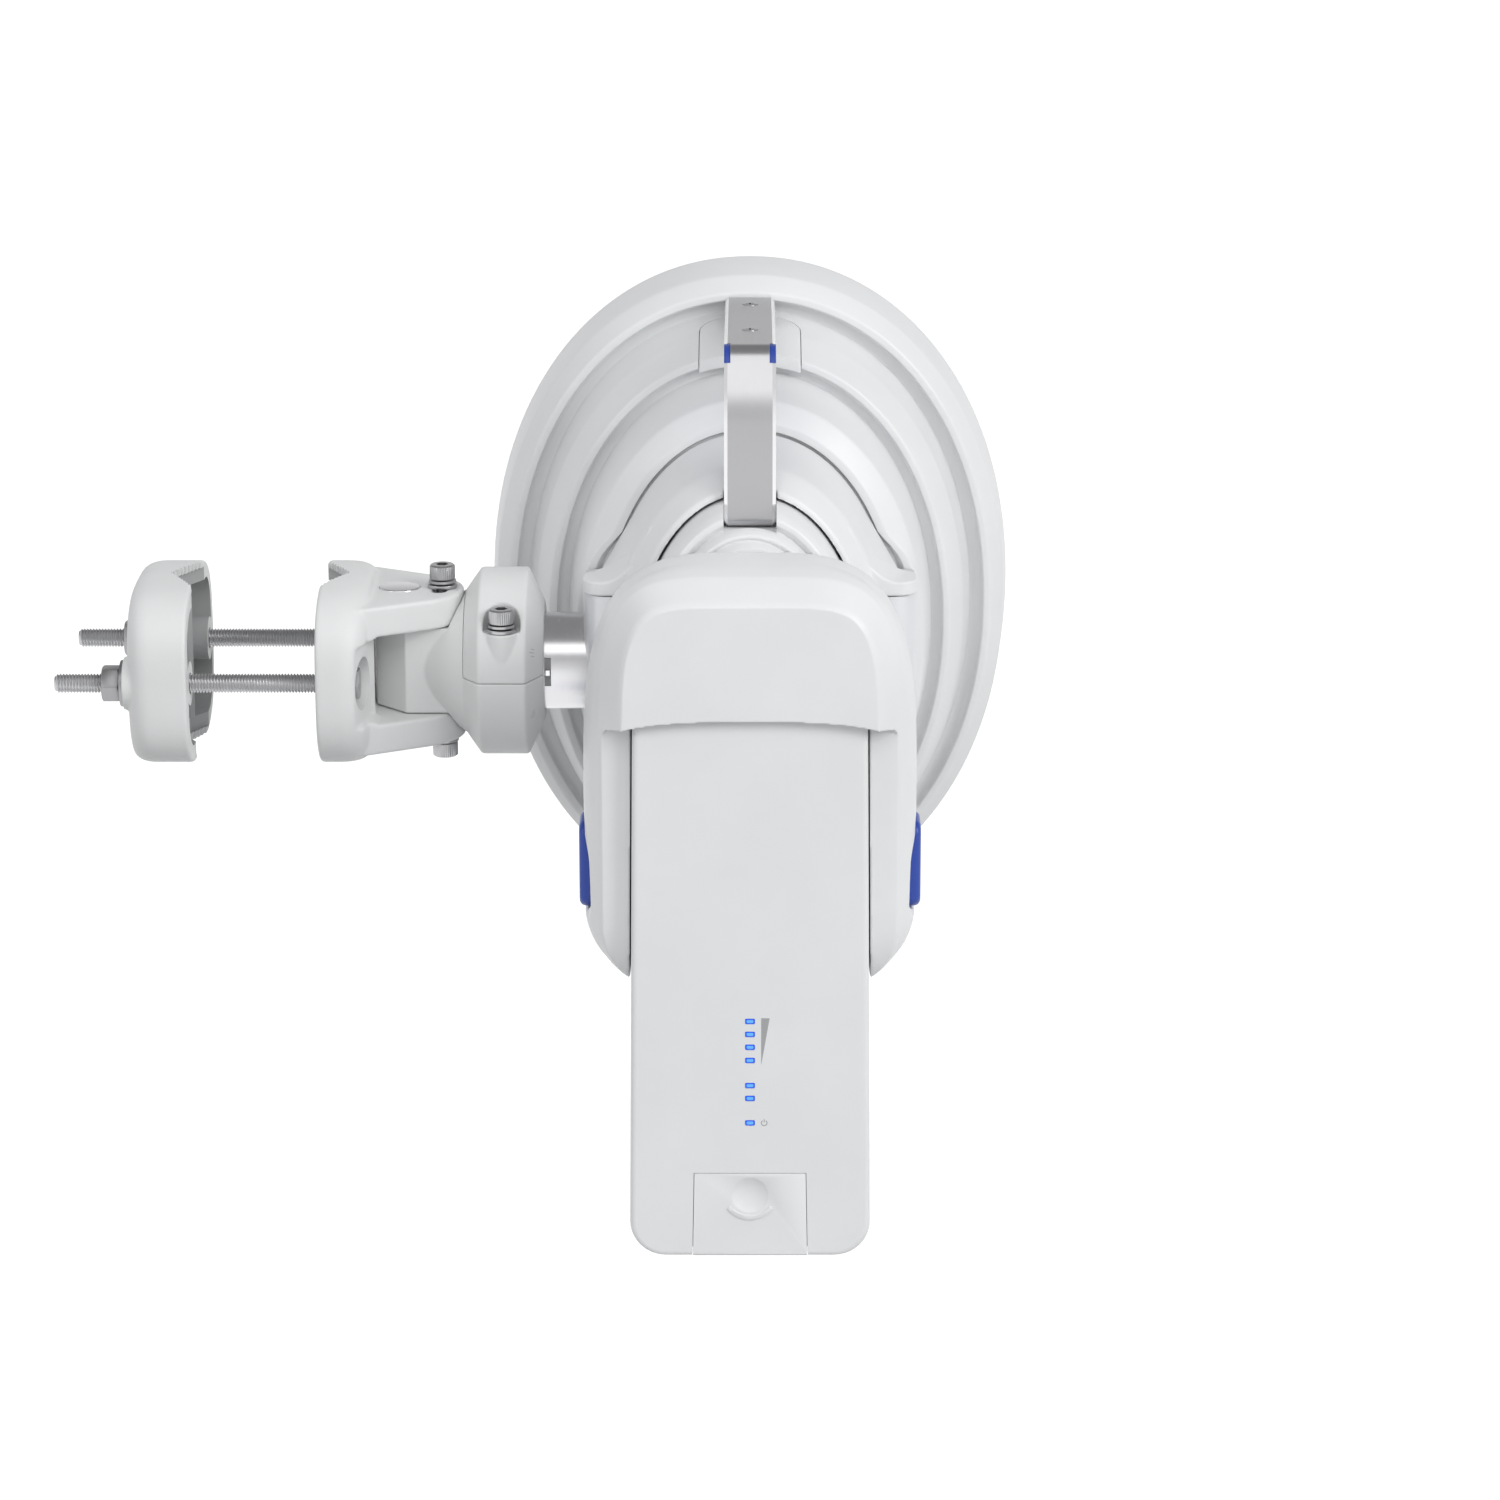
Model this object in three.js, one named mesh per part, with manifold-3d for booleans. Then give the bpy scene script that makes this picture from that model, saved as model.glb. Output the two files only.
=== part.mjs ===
// Outdoor wireless bridge: a stepped horn antenna with a slide-in radio on its back, carried by a
// side tube in a split ring, a swivel knuckle and a two-jaw pole clamp.
// Millimetres, +Z up, the horn fires along +Y. The origin is on the pole's axis, level with the tube.

import * as THREE from 'three';
import { mergeVertices } from 'three/addons/utils/BufferGeometryUtils.js';
import Module from 'manifold-3d';

const wasm = await Module();
wasm.setup();

// Clearances
const seatGap = 0.3; // between pieces that touch
const slideGap = 0.35; // round a piece that moves in a guide
const boltGap = 0.4; // round a bolt in its hole

// Pole clamp
const poleRadius = 28.5; // the largest pole that the vees take
const veeHalfWidth = 18.8;
const veeDepth = 9.7;
const toothCount = 9; // on each flank of a vee
const toothDepth = 0.9;
const jawHalfWidth = 44;
const jawHalfHeight = 32.4;
const jawRoundness = 3.2; // exponent of the jaw's outline
const jawWall = 5;
const jawCrown = 9; // depth of the rounding round the jaw's back
const jawCrownWidth = 6; // how far that rounding draws in the outline at each side
const jawCrownHeight = 4; // the same at the top and the bottom
const crownRoundness = 2.5; // exponent of the rounding
const outerJawDepth = 21.4;
const innerJawDepth = 17.6;
const rodInset = 12.4; // from the jaw's side to a rod
const rodSpacing = 2 * (jawHalfWidth - rodInset);
const rodRadius = 3.15;
const rodLength = 101;
const rodHeadFlats = 10;
const rodHeadHeight = 4;
const counterboreRadius = 9.4;
const rodBossRadius = 9.3;
const rodBossHeight = 1.2;
const nutFlats = 11;
const nutHeight = 6.1;
const clampWasherRadius = 8.2;
const clampWasherHeight = 1.3;

// Fork and swivel
const pivotOffset = 49.5; // from the pole's axis
const pinRadius = 7.2;
const armGap = 33.2; // between the two arms
const armThickness = 10.2;
const armRootInset = 12.5; // from the jaw's side
const armRootHalfWidth = jawHalfWidth - armRootInset;
const armRootCorner = 2; // between the arms, clear of the tongue's nose as it turns
const armTipRadius = 22.8;
const swivelRange = 12; // degrees to each side
const lockBoltOffset = 15.2; // from the pivot

// Machine screws of the swivel and the ring
const screwRadius = 2.5;
const screwHeadRadius = 4.5;
const screwHeadHeight = 5.1;
const socketFlats = 4;
const socketDepth = 2.6;
const flatWasherRadius = 5.3;
const flatWasherHeight = 1.2;
const springWasherRadius = 4.9;
const springWasherHeight = 1.3;
const lockBoltLength = 25;
const ringScrewLength = 33;

// Split ring and knuckle
const ringStart = 72.9; // from the pole's axis
const ringWidth = 28.1;
const ringRadius = 33.4;
const ringLeftChamfer = 5.6;
const ringRightChamfer = 5.8;
const ringLeftRadius = 25.4;
const ringRightRadius = 21;
const ringScrewSide = 27; // from the tube's axis
const ringBossRadius = 5.7;
const ringSeatHeight = 19;
const tongueHalfWidth = 17.5;
const tongueNoseHalfWidth = 3.5;
const tongueNose = 8.6; // from the pivot towards the pole
const domeStart = 6; // from the pivot towards the ring
const domeRootRadius = 17.2;

// Mast tube
const tubeRadius = 17.3;
const tubeWall = 2.3;
const tubeInset = 2; // from the ring's left face to the tube's end
const tubeGrip = 15.4; // length held in the column
const slotWidth = 2.3;
const slotHeight = 10.4;
const pointerHeight = 2.1;

// Horn: rings that are wider by the same amount all the way, so that each is an offset of the next.
// A bell narrows from its base to a crease and on to its back edge, whose rim overhangs a groove.
const ringTallness = 26.5; // how much a ring's half height exceeds its half width
const ringRoundness = 2.1; // exponent of a ring's outline
const hornWall = 2.6;
const mouthHalf = 97.6; // half width of the horn's mouth
const collarHalf = 52.1;
const firstGroove = 3.6; // width of the groove behind the mouth's bell
const secondGroove = 2.9;
const grooveDraft = 0.8;
const tailGap = 1; // between the collar's back edge and the tail
const tailSteps = [7, 3.5]; // each tail ring is narrower than the last by these
const mouthBell = bell(mouthHalf, { base: 122, crease: 96, back: 87, creaseStep: 2.3, backStep: 5, rim: 2.9 });
const middleBell = bell(
  grooveFloor(mouthBell) - firstGroove,
  { base: 96, crease: 72, back: 54, creaseStep: 3.7, backStep: 5.5, rim: 2.8 },
);
const rearBell = bell(
  grooveFloor(middleBell) - secondGroove,
  { base: 63, crease: 26, back: 20.6, creaseStep: 4.3, backStep: 7.2, rim: 3.3 },
);
const collarBell = bell(
  collarHalf,
  { base: 20.3, crease: -20, back: -31, creaseStep: 3.1, backStep: 4, rim: 3.7 },
);
const tailHalf = collarBell.backHalf - collarBell.rim - tailGap;
const tailBells = [
  bell(tailHalf, { base: -34, crease: -42, back: -46, creaseStep: 1.3, backStep: 1.7, rim: 2 }),
  bell(tailHalf - tailSteps[0], { base: -44, crease: -50, back: -53, creaseStep: 0.5, backStep: 1, rim: 1 }),
  bell(
    tailHalf - tailSteps[0] - tailSteps[1],
    { base: -52, crease: -57, back: -59.6, creaseStep: 0.5, backStep: 0.8, rim: 0 },
  ),
];
const lipRounding = 1;
const throatLedge = 11.8; // of the horn's rear wall
const throatHalf = rearBell.backHalf - throatLedge;
const radomeSeat = 4; // depth of the radome's seat in the mouth
const radomeSeatWidth = 1.4;
const radomeThickness = 2.4;
const radomeRise = 8;
const flareWall = 1.6;
const flareFlange = 2;
const flareLedge = 10; // from the shell's throat in to the flare's
const flareThroatHalf = throatHalf - flareLedge;
const flareGap = 1.4; // between the flare and the middle bell's front edge
const guideRadius = 20;
const guideWall = 2;
const feedWall = 3;

// Strap handle over the horn
const strapWidth = 18;
const strapThickness = 3;
const strapBevel = 1.1;
const strapBack = -37; // rearmost face
const strapRise = 5.5; // of the strap's far end above the middle bell
const strapFall = 3.6; // from the bend to the far end
const strapFarTop = middleBell.baseHalf + ringTallness + strapRise;
const strapTop = strapFarTop + strapFall;
const strapFarEnd = 86.3;
const strapFootDrop = 14.1; // inside the collar's back edge
const strapFoot = collarBell.backHalf + ringTallness - strapFootDrop;
const strapBend = 5.5;
const strapScrewNear = 13;
const strapScrewFar = 70;
const strapScrewRadius = 2.7;
const padHalfWidth = 6.4; // block on the middle bell that the strap is screwed to
const padHalfLength = 7;
const gripHalfWidth = 7.6; // liner under the strap's upper leg
const gripThickness = 3.4;
const insertHeight = 5.5;
const coverHalfWidth = 18.4;
const coverInset = 10; // from the middle bell's base to the cover's front
const coverFront = middleBell.base - coverInset;
const coverThickness = 1.3;
const coverRim = 4.2;

// Column behind the horn and the collar's cap on it
const boreHalf = tailHalf + 2 * seatGap; // the column's bore, which takes the tail
const columnWall = 18; // beside the bore
const columnFloor = 4.6; // below the bore
const columnHalfWidth = boreHalf + columnWall;
const columnNear = -22; // face towards the radio
const columnTop = 28.6;
const columnBottom = -boreHalf - ringTallness - columnFloor;
const columnCorner = 12;
const capThickness = 5;
const shelfFar = -4.4; // where the cap's shelf ends towards the horn
const filletHeight = 6.7; // of the hollow curve from the shelf up to the bell, at the shelf's far edge
const filletReach = 11.8; // from the bell out along the shelf, at its far edge
const filletNearHeight = 6;
const filletNearReach = 8;
const skirtRise = 24; // height of the straight flare that ends the bell's side, at the seam
const skirtFlare = 4.4; // how far its foot stands outside the bell
const tubeShown = 14.1; // between the ring and the column
const boresight = ringStart + ringWidth + tubeShown + columnHalfWidth; // from the pole's axis to the horn's

// Radio
const radioFace = -96;
const radioDepth = 48;
const radioLength = 230;
const radioTop = 40.2;
const radioBottom = radioTop - radioLength;
const radioTopHalf = 39.75;
const radioBottomHalf = 41.8;
const radioCorner = 12.5;
const radioTopCorner = 20; // inside the hood
const radioBevel = 1.7;
const radioWall = 2.4;
const frontCoverDepth = 18;
const doorLength = 31;
const doorTopHalf = 19.3;
const doorBottomHalf = 19.9;
const doorThickness = 2.6;
const doorReach = 24; // along the radio's bottom
const dimpleRadius = 6.5;
const dimpleDepth = 1.7;
const ledWidth = 3.4;
const ledHeight = 2;
const ledDepth = 4;
const ledRises = [86.8, 82.1, 77.4, 72.6, 63.4, 58.7, 49.7]; // above the radio's lower end
const ledHeights = ledRises.map((rise) => radioBottom + rise);
const boardHalfWidth = 35;
const boardThickness = 1.6;
const connectorRadius = 3.2;
const connectorSide = 20;
const jackWidth = 16;
const jackDepth = 13.5;
const jackHeight = 21;

// Cradle and hood round the radio
const cradleWall = 3;
const cradleBottom = -88;
const cradleFront = -83;
const hoodBottom = -94;
const hoodMiddle = -35; // where the arched top meets the straight sides
const hoodHalfWidth = columnHalfWidth - 0.9;
const hoodFace = -100;
const hoodRoundness = 4.1; // exponent of the arch
const hoodFaceRoundness = 3.7; // the same at the face
const hoodSideWall = 5.5;
const hoodLip = 4.9;
const hoodLipSag = 2.8;
const hoodLipDrop = 2.6; // of the lip's ends, below the sag
const hoodLipHalfWidth = 49.2;
const railFace = -89;
const hoodBackEdge = -41; // where the hood's roof ends towards the column
const hoodLedge = 28;
const scoopDepth = 3;
const buttonTop = -39;
const buttonLength = 33;
const buttonWidth = 20;
const buttonMiddle = -60;
const buttonProud = 1.7;
const buttonFlange = 2;

// Fineness of round forms
const ringSegments = 40;
const roundSegments = 24;
const smallSegments = 16;

const past = 150; // reach of the cutting blocks, beyond the whole part

// Solids from three.js geometries
function solid(geometry) {
  const plain = geometry.clone();
  plain.deleteAttribute('normal');
  plain.deleteAttribute('uv');
  const merged = mergeVertices(plain, 1e-4);
  const vertProperties = new Float32Array(merged.attributes.position.array);
  const triVerts = new Uint32Array(merged.index.array);
  return new wasm.Manifold(new wasm.Mesh({ numProp: 3, vertProperties, triVerts }));
}

function unite(first, ...others) {
  return others.reduce((sum, other) => sum.add(other), first);
}

function cut(first, ...others) {
  return others.reduce((rest, other) => rest.subtract(other), first);
}

function box(x0, x1, y0, y1, z0, z1) {
  const geometry = new THREE.BoxGeometry(x1 - x0, y1 - y0, z1 - z0);
  geometry.translate((x0 + x1) / 2, (y0 + y1) / 2, (z0 + z1) / 2);
  return solid(geometry);
}

const alongX = new THREE.Matrix4().makeBasis(
  new THREE.Vector3(0, 1, 0),
  new THREE.Vector3(0, 0, 1),
  new THREE.Vector3(1, 0, 0),
);
const alongY = new THREE.Matrix4().makeBasis(
  new THREE.Vector3(1, 0, 0),
  new THREE.Vector3(0, 0, 1),
  new THREE.Vector3(0, -1, 0),
);

function extrusion(shape, depth, bevel = 0) {
  return new THREE.ExtrudeGeometry(shape, {
    depth: depth - 2 * bevel,
    bevelEnabled: bevel > 0,
    bevelThickness: bevel,
    bevelSize: bevel,
    bevelOffset: -bevel,
    bevelSegments: 1,
    curveSegments: smallSegments / 2,
  }).translate(0, 0, bevel);
}

// A shape drawn in Y and Z, from x0 to x1
function prismX(shape, x0, x1, bevel = 0) {
  return solid(extrusion(shape, x1 - x0, bevel).applyMatrix4(alongX).translate(x0, 0, 0));
}

// A shape drawn in X and Z, from y0 to y1
function prismY(shape, y0, y1, bevel = 0) {
  return solid(extrusion(shape, y1 - y0, bevel).applyMatrix4(alongY).translate(0, y1, 0));
}

// A shape drawn in X and Y, from z0 to z1
function prismZ(shape, z0, z1, bevel = 0) {
  return solid(extrusion(shape, z1 - z0, bevel).translate(0, 0, z0));
}

function shapeOf(points) {
  return new THREE.Shape(points.map(([x, y]) => new THREE.Vector2(x, y)));
}

function roundedRectangle(x0, x1, y0, y1, lowCorner, highCorner = lowCorner) {
  const shape = new THREE.Shape();
  shape.moveTo(x0 + lowCorner, y0);
  shape.lineTo(x1 - lowCorner, y0);
  shape.absarc(x1 - lowCorner, y0 + lowCorner, lowCorner, -Math.PI / 2, 0, false);
  shape.lineTo(x1, y1 - highCorner);
  shape.absarc(x1 - highCorner, y1 - highCorner, highCorner, 0, Math.PI / 2, false);
  shape.lineTo(x0 + highCorner, y1);
  shape.absarc(x0 + highCorner, y1 - highCorner, highCorner, Math.PI / 2, Math.PI, false);
  shape.lineTo(x0, y0 + lowCorner);
  shape.absarc(x0 + lowCorner, y0 + lowCorner, lowCorner, Math.PI, 1.5 * Math.PI, false);
  return shape;
}

function hexagon(flats) {
  const corner = flats / Math.sqrt(3);
  const angles = [0, 1, 2, 3, 4, 5].map((k) => (k * Math.PI) / 3);
  return shapeOf(angles.map((angle) => [corner * Math.cos(angle), corner * Math.sin(angle)]));
}

function rodX(radius, x0, x1, y, z, segments = roundSegments) {
  const geometry = new THREE.CylinderGeometry(radius, radius, x1 - x0, segments);
  geometry.rotateZ(Math.PI / 2);
  geometry.translate((x0 + x1) / 2, y, z);
  return solid(geometry);
}

function rodY(radius, y0, y1, x, z, segments = roundSegments) {
  const geometry = new THREE.CylinderGeometry(radius, radius, y1 - y0, segments);
  geometry.translate(x, (y0 + y1) / 2, z);
  return solid(geometry);
}

function rodZ(radius, z0, z1, x, y, segments = roundSegments) {
  const geometry = new THREE.CylinderGeometry(radius, radius, z1 - z0, segments);
  geometry.rotateX(Math.PI / 2);
  geometry.translate(x, y, (z0 + z1) / 2);
  return solid(geometry);
}

// A profile of [distance along the axis, radius] pairs turned about the X axis
function turnX(profile, segments = roundSegments) {
  const points = profile.map(([x, radius]) => new THREE.Vector2(radius, x));
  const geometry = new THREE.LatheGeometry(points, segments);
  geometry.rotateZ(-Math.PI / 2);
  return solid(geometry);
}

// A skin over sections that all have the same number of points, with flat ends
function loft(sections) {
  const count = sections[0].length;
  const positions = sections.flat().flatMap((point) => [point.x, point.y, point.z]);
  const index = [];
  for (let i = 0; i + 1 < sections.length; i += 1) {
    for (let j = 0; j < count; j += 1) {
      const a = i * count + j;
      const b = i * count + ((j + 1) % count);
      index.push(a, b, b + count, a, b + count, a + count);
    }
  }
  const ends = [0, sections.length - 1];
  for (const end of ends) {
    const flat = sections[end].map((point) => new THREE.Vector2(point.x, point.z));
    for (const [a, b, c] of THREE.ShapeUtils.triangulateShape(flat, [])) {
      const start = end * count;
      if (end === 0) index.push(start + a, start + c, start + b);
      else index.push(start + a, start + b, start + c);
    }
  }
  const geometry = new THREE.BufferGeometry();
  geometry.setAttribute('position', new THREE.Float32BufferAttribute(positions, 3));
  geometry.setIndex(index);
  return solid(geometry);
}

function power(value, exponent) {
  return Math.sign(value) * Math.abs(value) ** exponent;
}

// An elliptical section square to Y; sections are given from the front to the back
function ellipse(y, halfWidth, halfHeight = halfWidth + ringTallness, roundness = ringRoundness) {
  const points = [];
  for (let k = 0; k < ringSegments; k += 1) {
    const angle = (2 * Math.PI * k) / ringSegments;
    const x = halfWidth * power(Math.cos(angle), 2 / roundness);
    const z = halfHeight * power(Math.sin(angle), 2 / roundness);
    points.push(new THREE.Vector3(x, y, z));
  }
  return points;
}

function hornForm(stations) {
  return loft(stations.map(([y, half]) => ellipse(y, half)));
}

// A bell with the half widths that follow from its steps
function bell(baseHalf, form) {
  const creaseHalf = baseHalf - form.creaseStep;
  return { ...form, baseHalf, creaseHalf, backHalf: creaseHalf - form.backStep };
}

// Half width at the bottom of the groove behind a bell
function grooveFloor(front) {
  return front.backHalf - front.rim - grooveDraft;
}

const materials = {
  shell: { color: 0xe9eaeb, roughness: 0.45, metalness: 0 },
  casting: { color: 0xdcdedd, roughness: 0.5, metalness: 0 },
  column: { color: 0xd9dade, roughness: 0.35, metalness: 0.4 },
  radio: { color: 0xe2e4e5, roughness: 0.4, metalness: 0 },
  aluminium: { color: 0xc6c6c9, roughness: 0.3, metalness: 1 },
  chrome: { color: 0xe4e4e8, roughness: 0.12, metalness: 1 },
  steel: { color: 0x98989b, roughness: 0.35, metalness: 1 },
  blue: { color: 0x2b46b0, roughness: 0.4, metalness: 0 },
  light: { color: 0x3d93ff, roughness: 0.2, metalness: 0 },
  board: { color: 0x1f5a3a, roughness: 0.6, metalness: 0.1 },
  brass: { color: 0xc9a24a, roughness: 0.3, metalness: 1 },
  black: { color: 0x2a2b2d, roughness: 0.6, metalness: 0 },
};

function piece(name, manifold, look) {
  const { vertProperties, triVerts } = manifold.getMesh();
  const geometry = new THREE.BufferGeometry();
  geometry.setAttribute('position', new THREE.Float32BufferAttribute(vertProperties, 3));
  geometry.setIndex(Array.from(triVerts));
  geometry.computeVertexNormals();
  const mesh = new THREE.Mesh(geometry, new THREE.MeshStandardMaterial(materials[look]));
  mesh.name = name;
  return mesh;
}

const sides = [
  ['near', -1],
  ['far', 1],
];
const hands = [
  ['left', -1],
  ['right', 1],
];
const radians = Math.PI / 180;

// Places of the clamp that follow from the pole
const veeHalfAngle = Math.atan2(veeHalfWidth, veeDepth);
const rimOffset = poleRadius / Math.sin(veeHalfAngle) - veeDepth;
const outerJawBack = -rimOffset - outerJawDepth;
const innerJawBack = rimOffset + innerJawDepth;
const nutSeat = outerJawBack - rodBossHeight;
const rodHeadSeat = innerJawBack - jawWall - rodHeadHeight;

// The jaw's outline at a given depth behind the rim, drawn in by a share of the crown
function jawSection(depth, share) {
  const points = [];
  for (let k = 0; k < roundSegments; k += 1) {
    const angle = (2 * Math.PI * k) / roundSegments;
    const x = (jawHalfWidth - jawCrownWidth * share) * power(Math.cos(angle), 2 / jawRoundness);
    const z = (jawHalfHeight - jawCrownHeight * share) * power(Math.sin(angle), 2 / jawRoundness);
    points.push(new THREE.Vector3(x, depth, z));
  }
  return points;
}

// A block from the vee's rim to a rounded back, for a jaw that opens towards +X
function jawBlock(depth) {
  const sections = [jawSection(0, 0)];
  for (let k = 0; k <= 4; k += 1) {
    const angle = (Math.PI / 8) * k;
    const reach = Math.sin(angle) ** (2 / crownRoundness);
    const share = 1 - Math.cos(angle) ** (2 / crownRoundness);
    sections.unshift(jawSection(depth - jawCrown * (1 - reach), share));
  }
  return loft(sections).rotate([0, 0, 90]);
}

// The vee that takes the pole, with teeth that run along the pole
function veeCut(jawHeight) {
  const flank = Math.hypot(veeHalfWidth, veeDepth);
  const points = [];
  const pitch = 1 / toothCount;
  for (const side of [1, -1]) {
    const teeth = [];
    for (let k = 0; k < toothCount; k += 1) {
      const root = k * pitch;
      const tip = (k + 0.5) * pitch;
      teeth.push([-veeDepth * (1 - root), side * veeHalfWidth * root]);
      const lift = toothDepth / flank;
      const x = -veeDepth * (1 - tip) + veeHalfWidth * lift;
      const y = side * (veeHalfWidth * tip - veeDepth * lift);
      teeth.push([x, y]);
    }
    teeth.push([0, side * veeHalfWidth], [1, side * veeHalfWidth]);
    points.push(...(side === 1 ? teeth.slice(1).reverse() : teeth));
  }
  return prismZ(shapeOf(points), -jawHeight - 1, jawHeight + 1);
}

// Hollow behind the vee, open towards the pole, with bosses for the rods and two ribs
function jawHollow(depth) {
  const reach = depth - jawWall;
  const halfHeight = jawHalfHeight - jawWall - 2.9;
  const halfWidth = jawHalfWidth - jawWall - 1.5;
  let hollow = prismX(roundedRectangle(-halfWidth, halfWidth, -halfHeight, halfHeight, 14), -reach, 1);
  for (const [, side] of sides) {
    hollow = cut(hollow, rodX(rodBossRadius - 1.5, -depth, 2, (side * rodSpacing) / 2, 0));
    hollow = cut(hollow, box(-depth, -2, side * 12 - 1.3, side * 12 + 1.3, -halfHeight - 1, halfHeight + 1));
  }
  return cut(hollow, box(-depth, -veeDepth, -halfWidth, halfWidth, -1.3, 1.3));
}

function rodHoles(x0, x1) {
  const holes = sides.map(([, side]) => rodX(rodRadius + boltGap, x0, x1, (side * rodSpacing) / 2, 0));
  return unite(...holes);
}

function outerJaw() {
  let jaw = jawBlock(outerJawDepth);
  for (const [, side] of sides) {
    const boss = rodX(rodBossRadius, -outerJawDepth - rodBossHeight, -jawWall, (side * rodSpacing) / 2, 0);
    jaw = unite(jaw, boss);
  }
  jaw = cut(jaw, jawHollow(outerJawDepth), veeCut(jawHalfHeight));
  jaw = jaw.translate([-rimOffset, 0, 0]);
  return cut(jaw, rodHoles(nutSeat - 1, 0));
}

// One arm in plan: it narrows from the jaw to a round end about the pivot
function armOutline() {
  const shape = new THREE.Shape();
  const meet = 60 * radians;
  shape.moveTo(innerJawBack - 6, armRootHalfWidth + 2);
  shape.lineTo(innerJawBack - 6, -armRootHalfWidth - 2);
  shape.lineTo(innerJawBack, -armRootHalfWidth);
  shape.absarc(pivotOffset, 0, armTipRadius, -meet, meet, false);
  shape.lineTo(innerJawBack, armRootHalfWidth);
  return shape;
}

function arcSlot(z0, z1) {
  const half = screwRadius + boltGap;
  const sweep = (swivelRange + 1.5) * radians;
  const slot = new THREE.Shape();
  slot.absarc(pivotOffset, 0, lockBoltOffset + half, -sweep, sweep, false);
  slot.absarc(pivotOffset, 0, lockBoltOffset - half, sweep, -sweep, true);
  let hole = prismZ(slot, z0, z1);
  for (const side of [-1, 1]) {
    const x = pivotOffset + lockBoltOffset * Math.cos(sweep);
    hole = unite(hole, rodZ(half, z0, z1, x, side * lockBoltOffset * Math.sin(sweep), smallSegments));
  }
  return hole;
}

function forkJaw() {
  const armTop = armGap / 2 + armThickness;
  let jaw = jawBlock(innerJawDepth);
  jaw = cut(jaw, jawHollow(innerJawDepth - 3), veeCut(jawHalfHeight));
  jaw = jaw.mirror([1, 0, 0]).translate([rimOffset, 0, 0]);
  const arms = prismZ(armOutline(), -armTop, armTop);
  const between = prismY(
    roundedRectangle(innerJawBack - 1.5, ringStart + 9, -armGap / 2, armGap / 2, armRootCorner),
    -jawHalfWidth,
    jawHalfWidth,
  );
  let fork = unite(jaw, cut(arms, between));
  fork = cut(fork, rodHoles(0, rodHeadSeat + 1));
  for (const [, side] of sides) {
    fork = cut(fork, rodX(counterboreRadius, rodHeadSeat, innerJawBack + 9, (side * rodSpacing) / 2, 0));
  }
  fork = cut(fork, rodZ(pinRadius + seatGap / 2, -armTop - 1, armTop + 1, pivotOffset, 0));
  return cut(fork, arcSlot(-armTop - 1, armTop + 1));
}

function clampRod(side) {
  const end = rodHeadSeat + seatGap;
  const y = (side * rodSpacing) / 2;
  const head = prismX(hexagon(rodHeadFlats), end, end + rodHeadHeight).translate([0, y, 0]);
  return unite(rodX(rodRadius, end - rodLength, end + 1, y, 0, smallSegments), head);
}

function clampNut(side) {
  const y = (side * rodSpacing) / 2;
  const x1 = nutSeat - seatGap * 2 - clampWasherHeight;
  const nut = prismX(hexagon(nutFlats), x1 - nutHeight, x1).translate([0, y, 0]);
  return cut(nut, rodX(rodRadius + boltGap, x1 - nutHeight - 1, x1 + 1, y, 0, smallSegments));
}

function clampWasher(side) {
  const y = (side * rodSpacing) / 2;
  const x1 = nutSeat - seatGap;
  const washer = rodX(clampWasherRadius, x1 - clampWasherHeight, x1, y, 0);
  return cut(washer, rodX(rodRadius + boltGap, x1 - clampWasherHeight - 1, x1 + 1, y, 0, smallSegments));
}

// A socket screw that points down from its seat, and the two washers under its head
function socketScrew(length) {
  const top = flatWasherHeight + springWasherHeight + 3 * seatGap;
  const head = rodZ(screwHeadRadius, top, top + screwHeadHeight, 0, 0);
  const shank = rodZ(screwRadius, top - length, top + 1, 0, 0, smallSegments);
  const crown = top + screwHeadHeight;
  const socket = prismZ(hexagon(socketFlats), crown - socketDepth, crown + 1);
  return cut(unite(head, shank), socket);
}

function washer(radius, height, z) {
  const hole = rodZ(screwRadius + boltGap / 2, z - 1, z + height + 1, 0, 0, smallSegments);
  return cut(rodZ(radius, z, z + height, 0, 0), hole);
}

function flatWasher() {
  return washer(flatWasherRadius, flatWasherHeight, seatGap);
}

function springWasher() {
  return washer(springWasherRadius, springWasherHeight, 2 * seatGap + flatWasherHeight);
}

// The ring's outer form, turned about the tube
function ringForm() {
  const end = ringStart + ringWidth;
  return turnX([
    [ringStart, 0],
    [ringStart, ringLeftRadius],
    [ringStart + ringLeftChamfer, ringRadius],
    [end - ringRightChamfer, ringRadius],
    [end, ringRightRadius],
    [end, 0],
  ], ringSegments);
}

const ringScrewX = ringStart + (ringLeftChamfer + ringWidth - ringRightChamfer) / 2;
const tubeBore = tubeRadius + seatGap / 2;
const tubeStart = ringStart + tubeInset;

function ringCap() {
  let cap = unite(ringForm(), ...sides.map(([, side]) => {
    return rodZ(ringBossRadius, 0, ringSeatHeight, ringScrewX, side * ringScrewSide);
  }));
  const pocketRadius = flatWasherRadius + 1.3;
  for (const [, side] of sides) {
    const y = side * ringScrewSide;
    const reach = side * (ringRadius + 1);
    const pocket = rodZ(pocketRadius, ringSeatHeight, ringRadius + 1, ringScrewX, y);
    const slotStart = Math.min(y, reach);
    const open = box(
      ringScrewX - pocketRadius,
      ringScrewX + pocketRadius,
      slotStart,
      slotStart + Math.abs(reach - y),
      ringSeatHeight,
      ringRadius + 1,
    );
    cap = cut(cap, pocket, open, rodZ(screwRadius + boltGap, -1, ringSeatHeight + 1, ringScrewX, y));
  }
  cap = cut(cap, rodX(tubeBore, ringStart - 1, ringStart + ringWidth + 1, 0, 0, ringSegments));
  const below = box(ringStart - 1, ringStart + ringWidth + 1, -past, past, -past, seatGap / 2);
  const behind = box(ringStart - 1, ringStart + seatGap, -past, past, -past, past);
  return cut(cap, below, behind);
}

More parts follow.
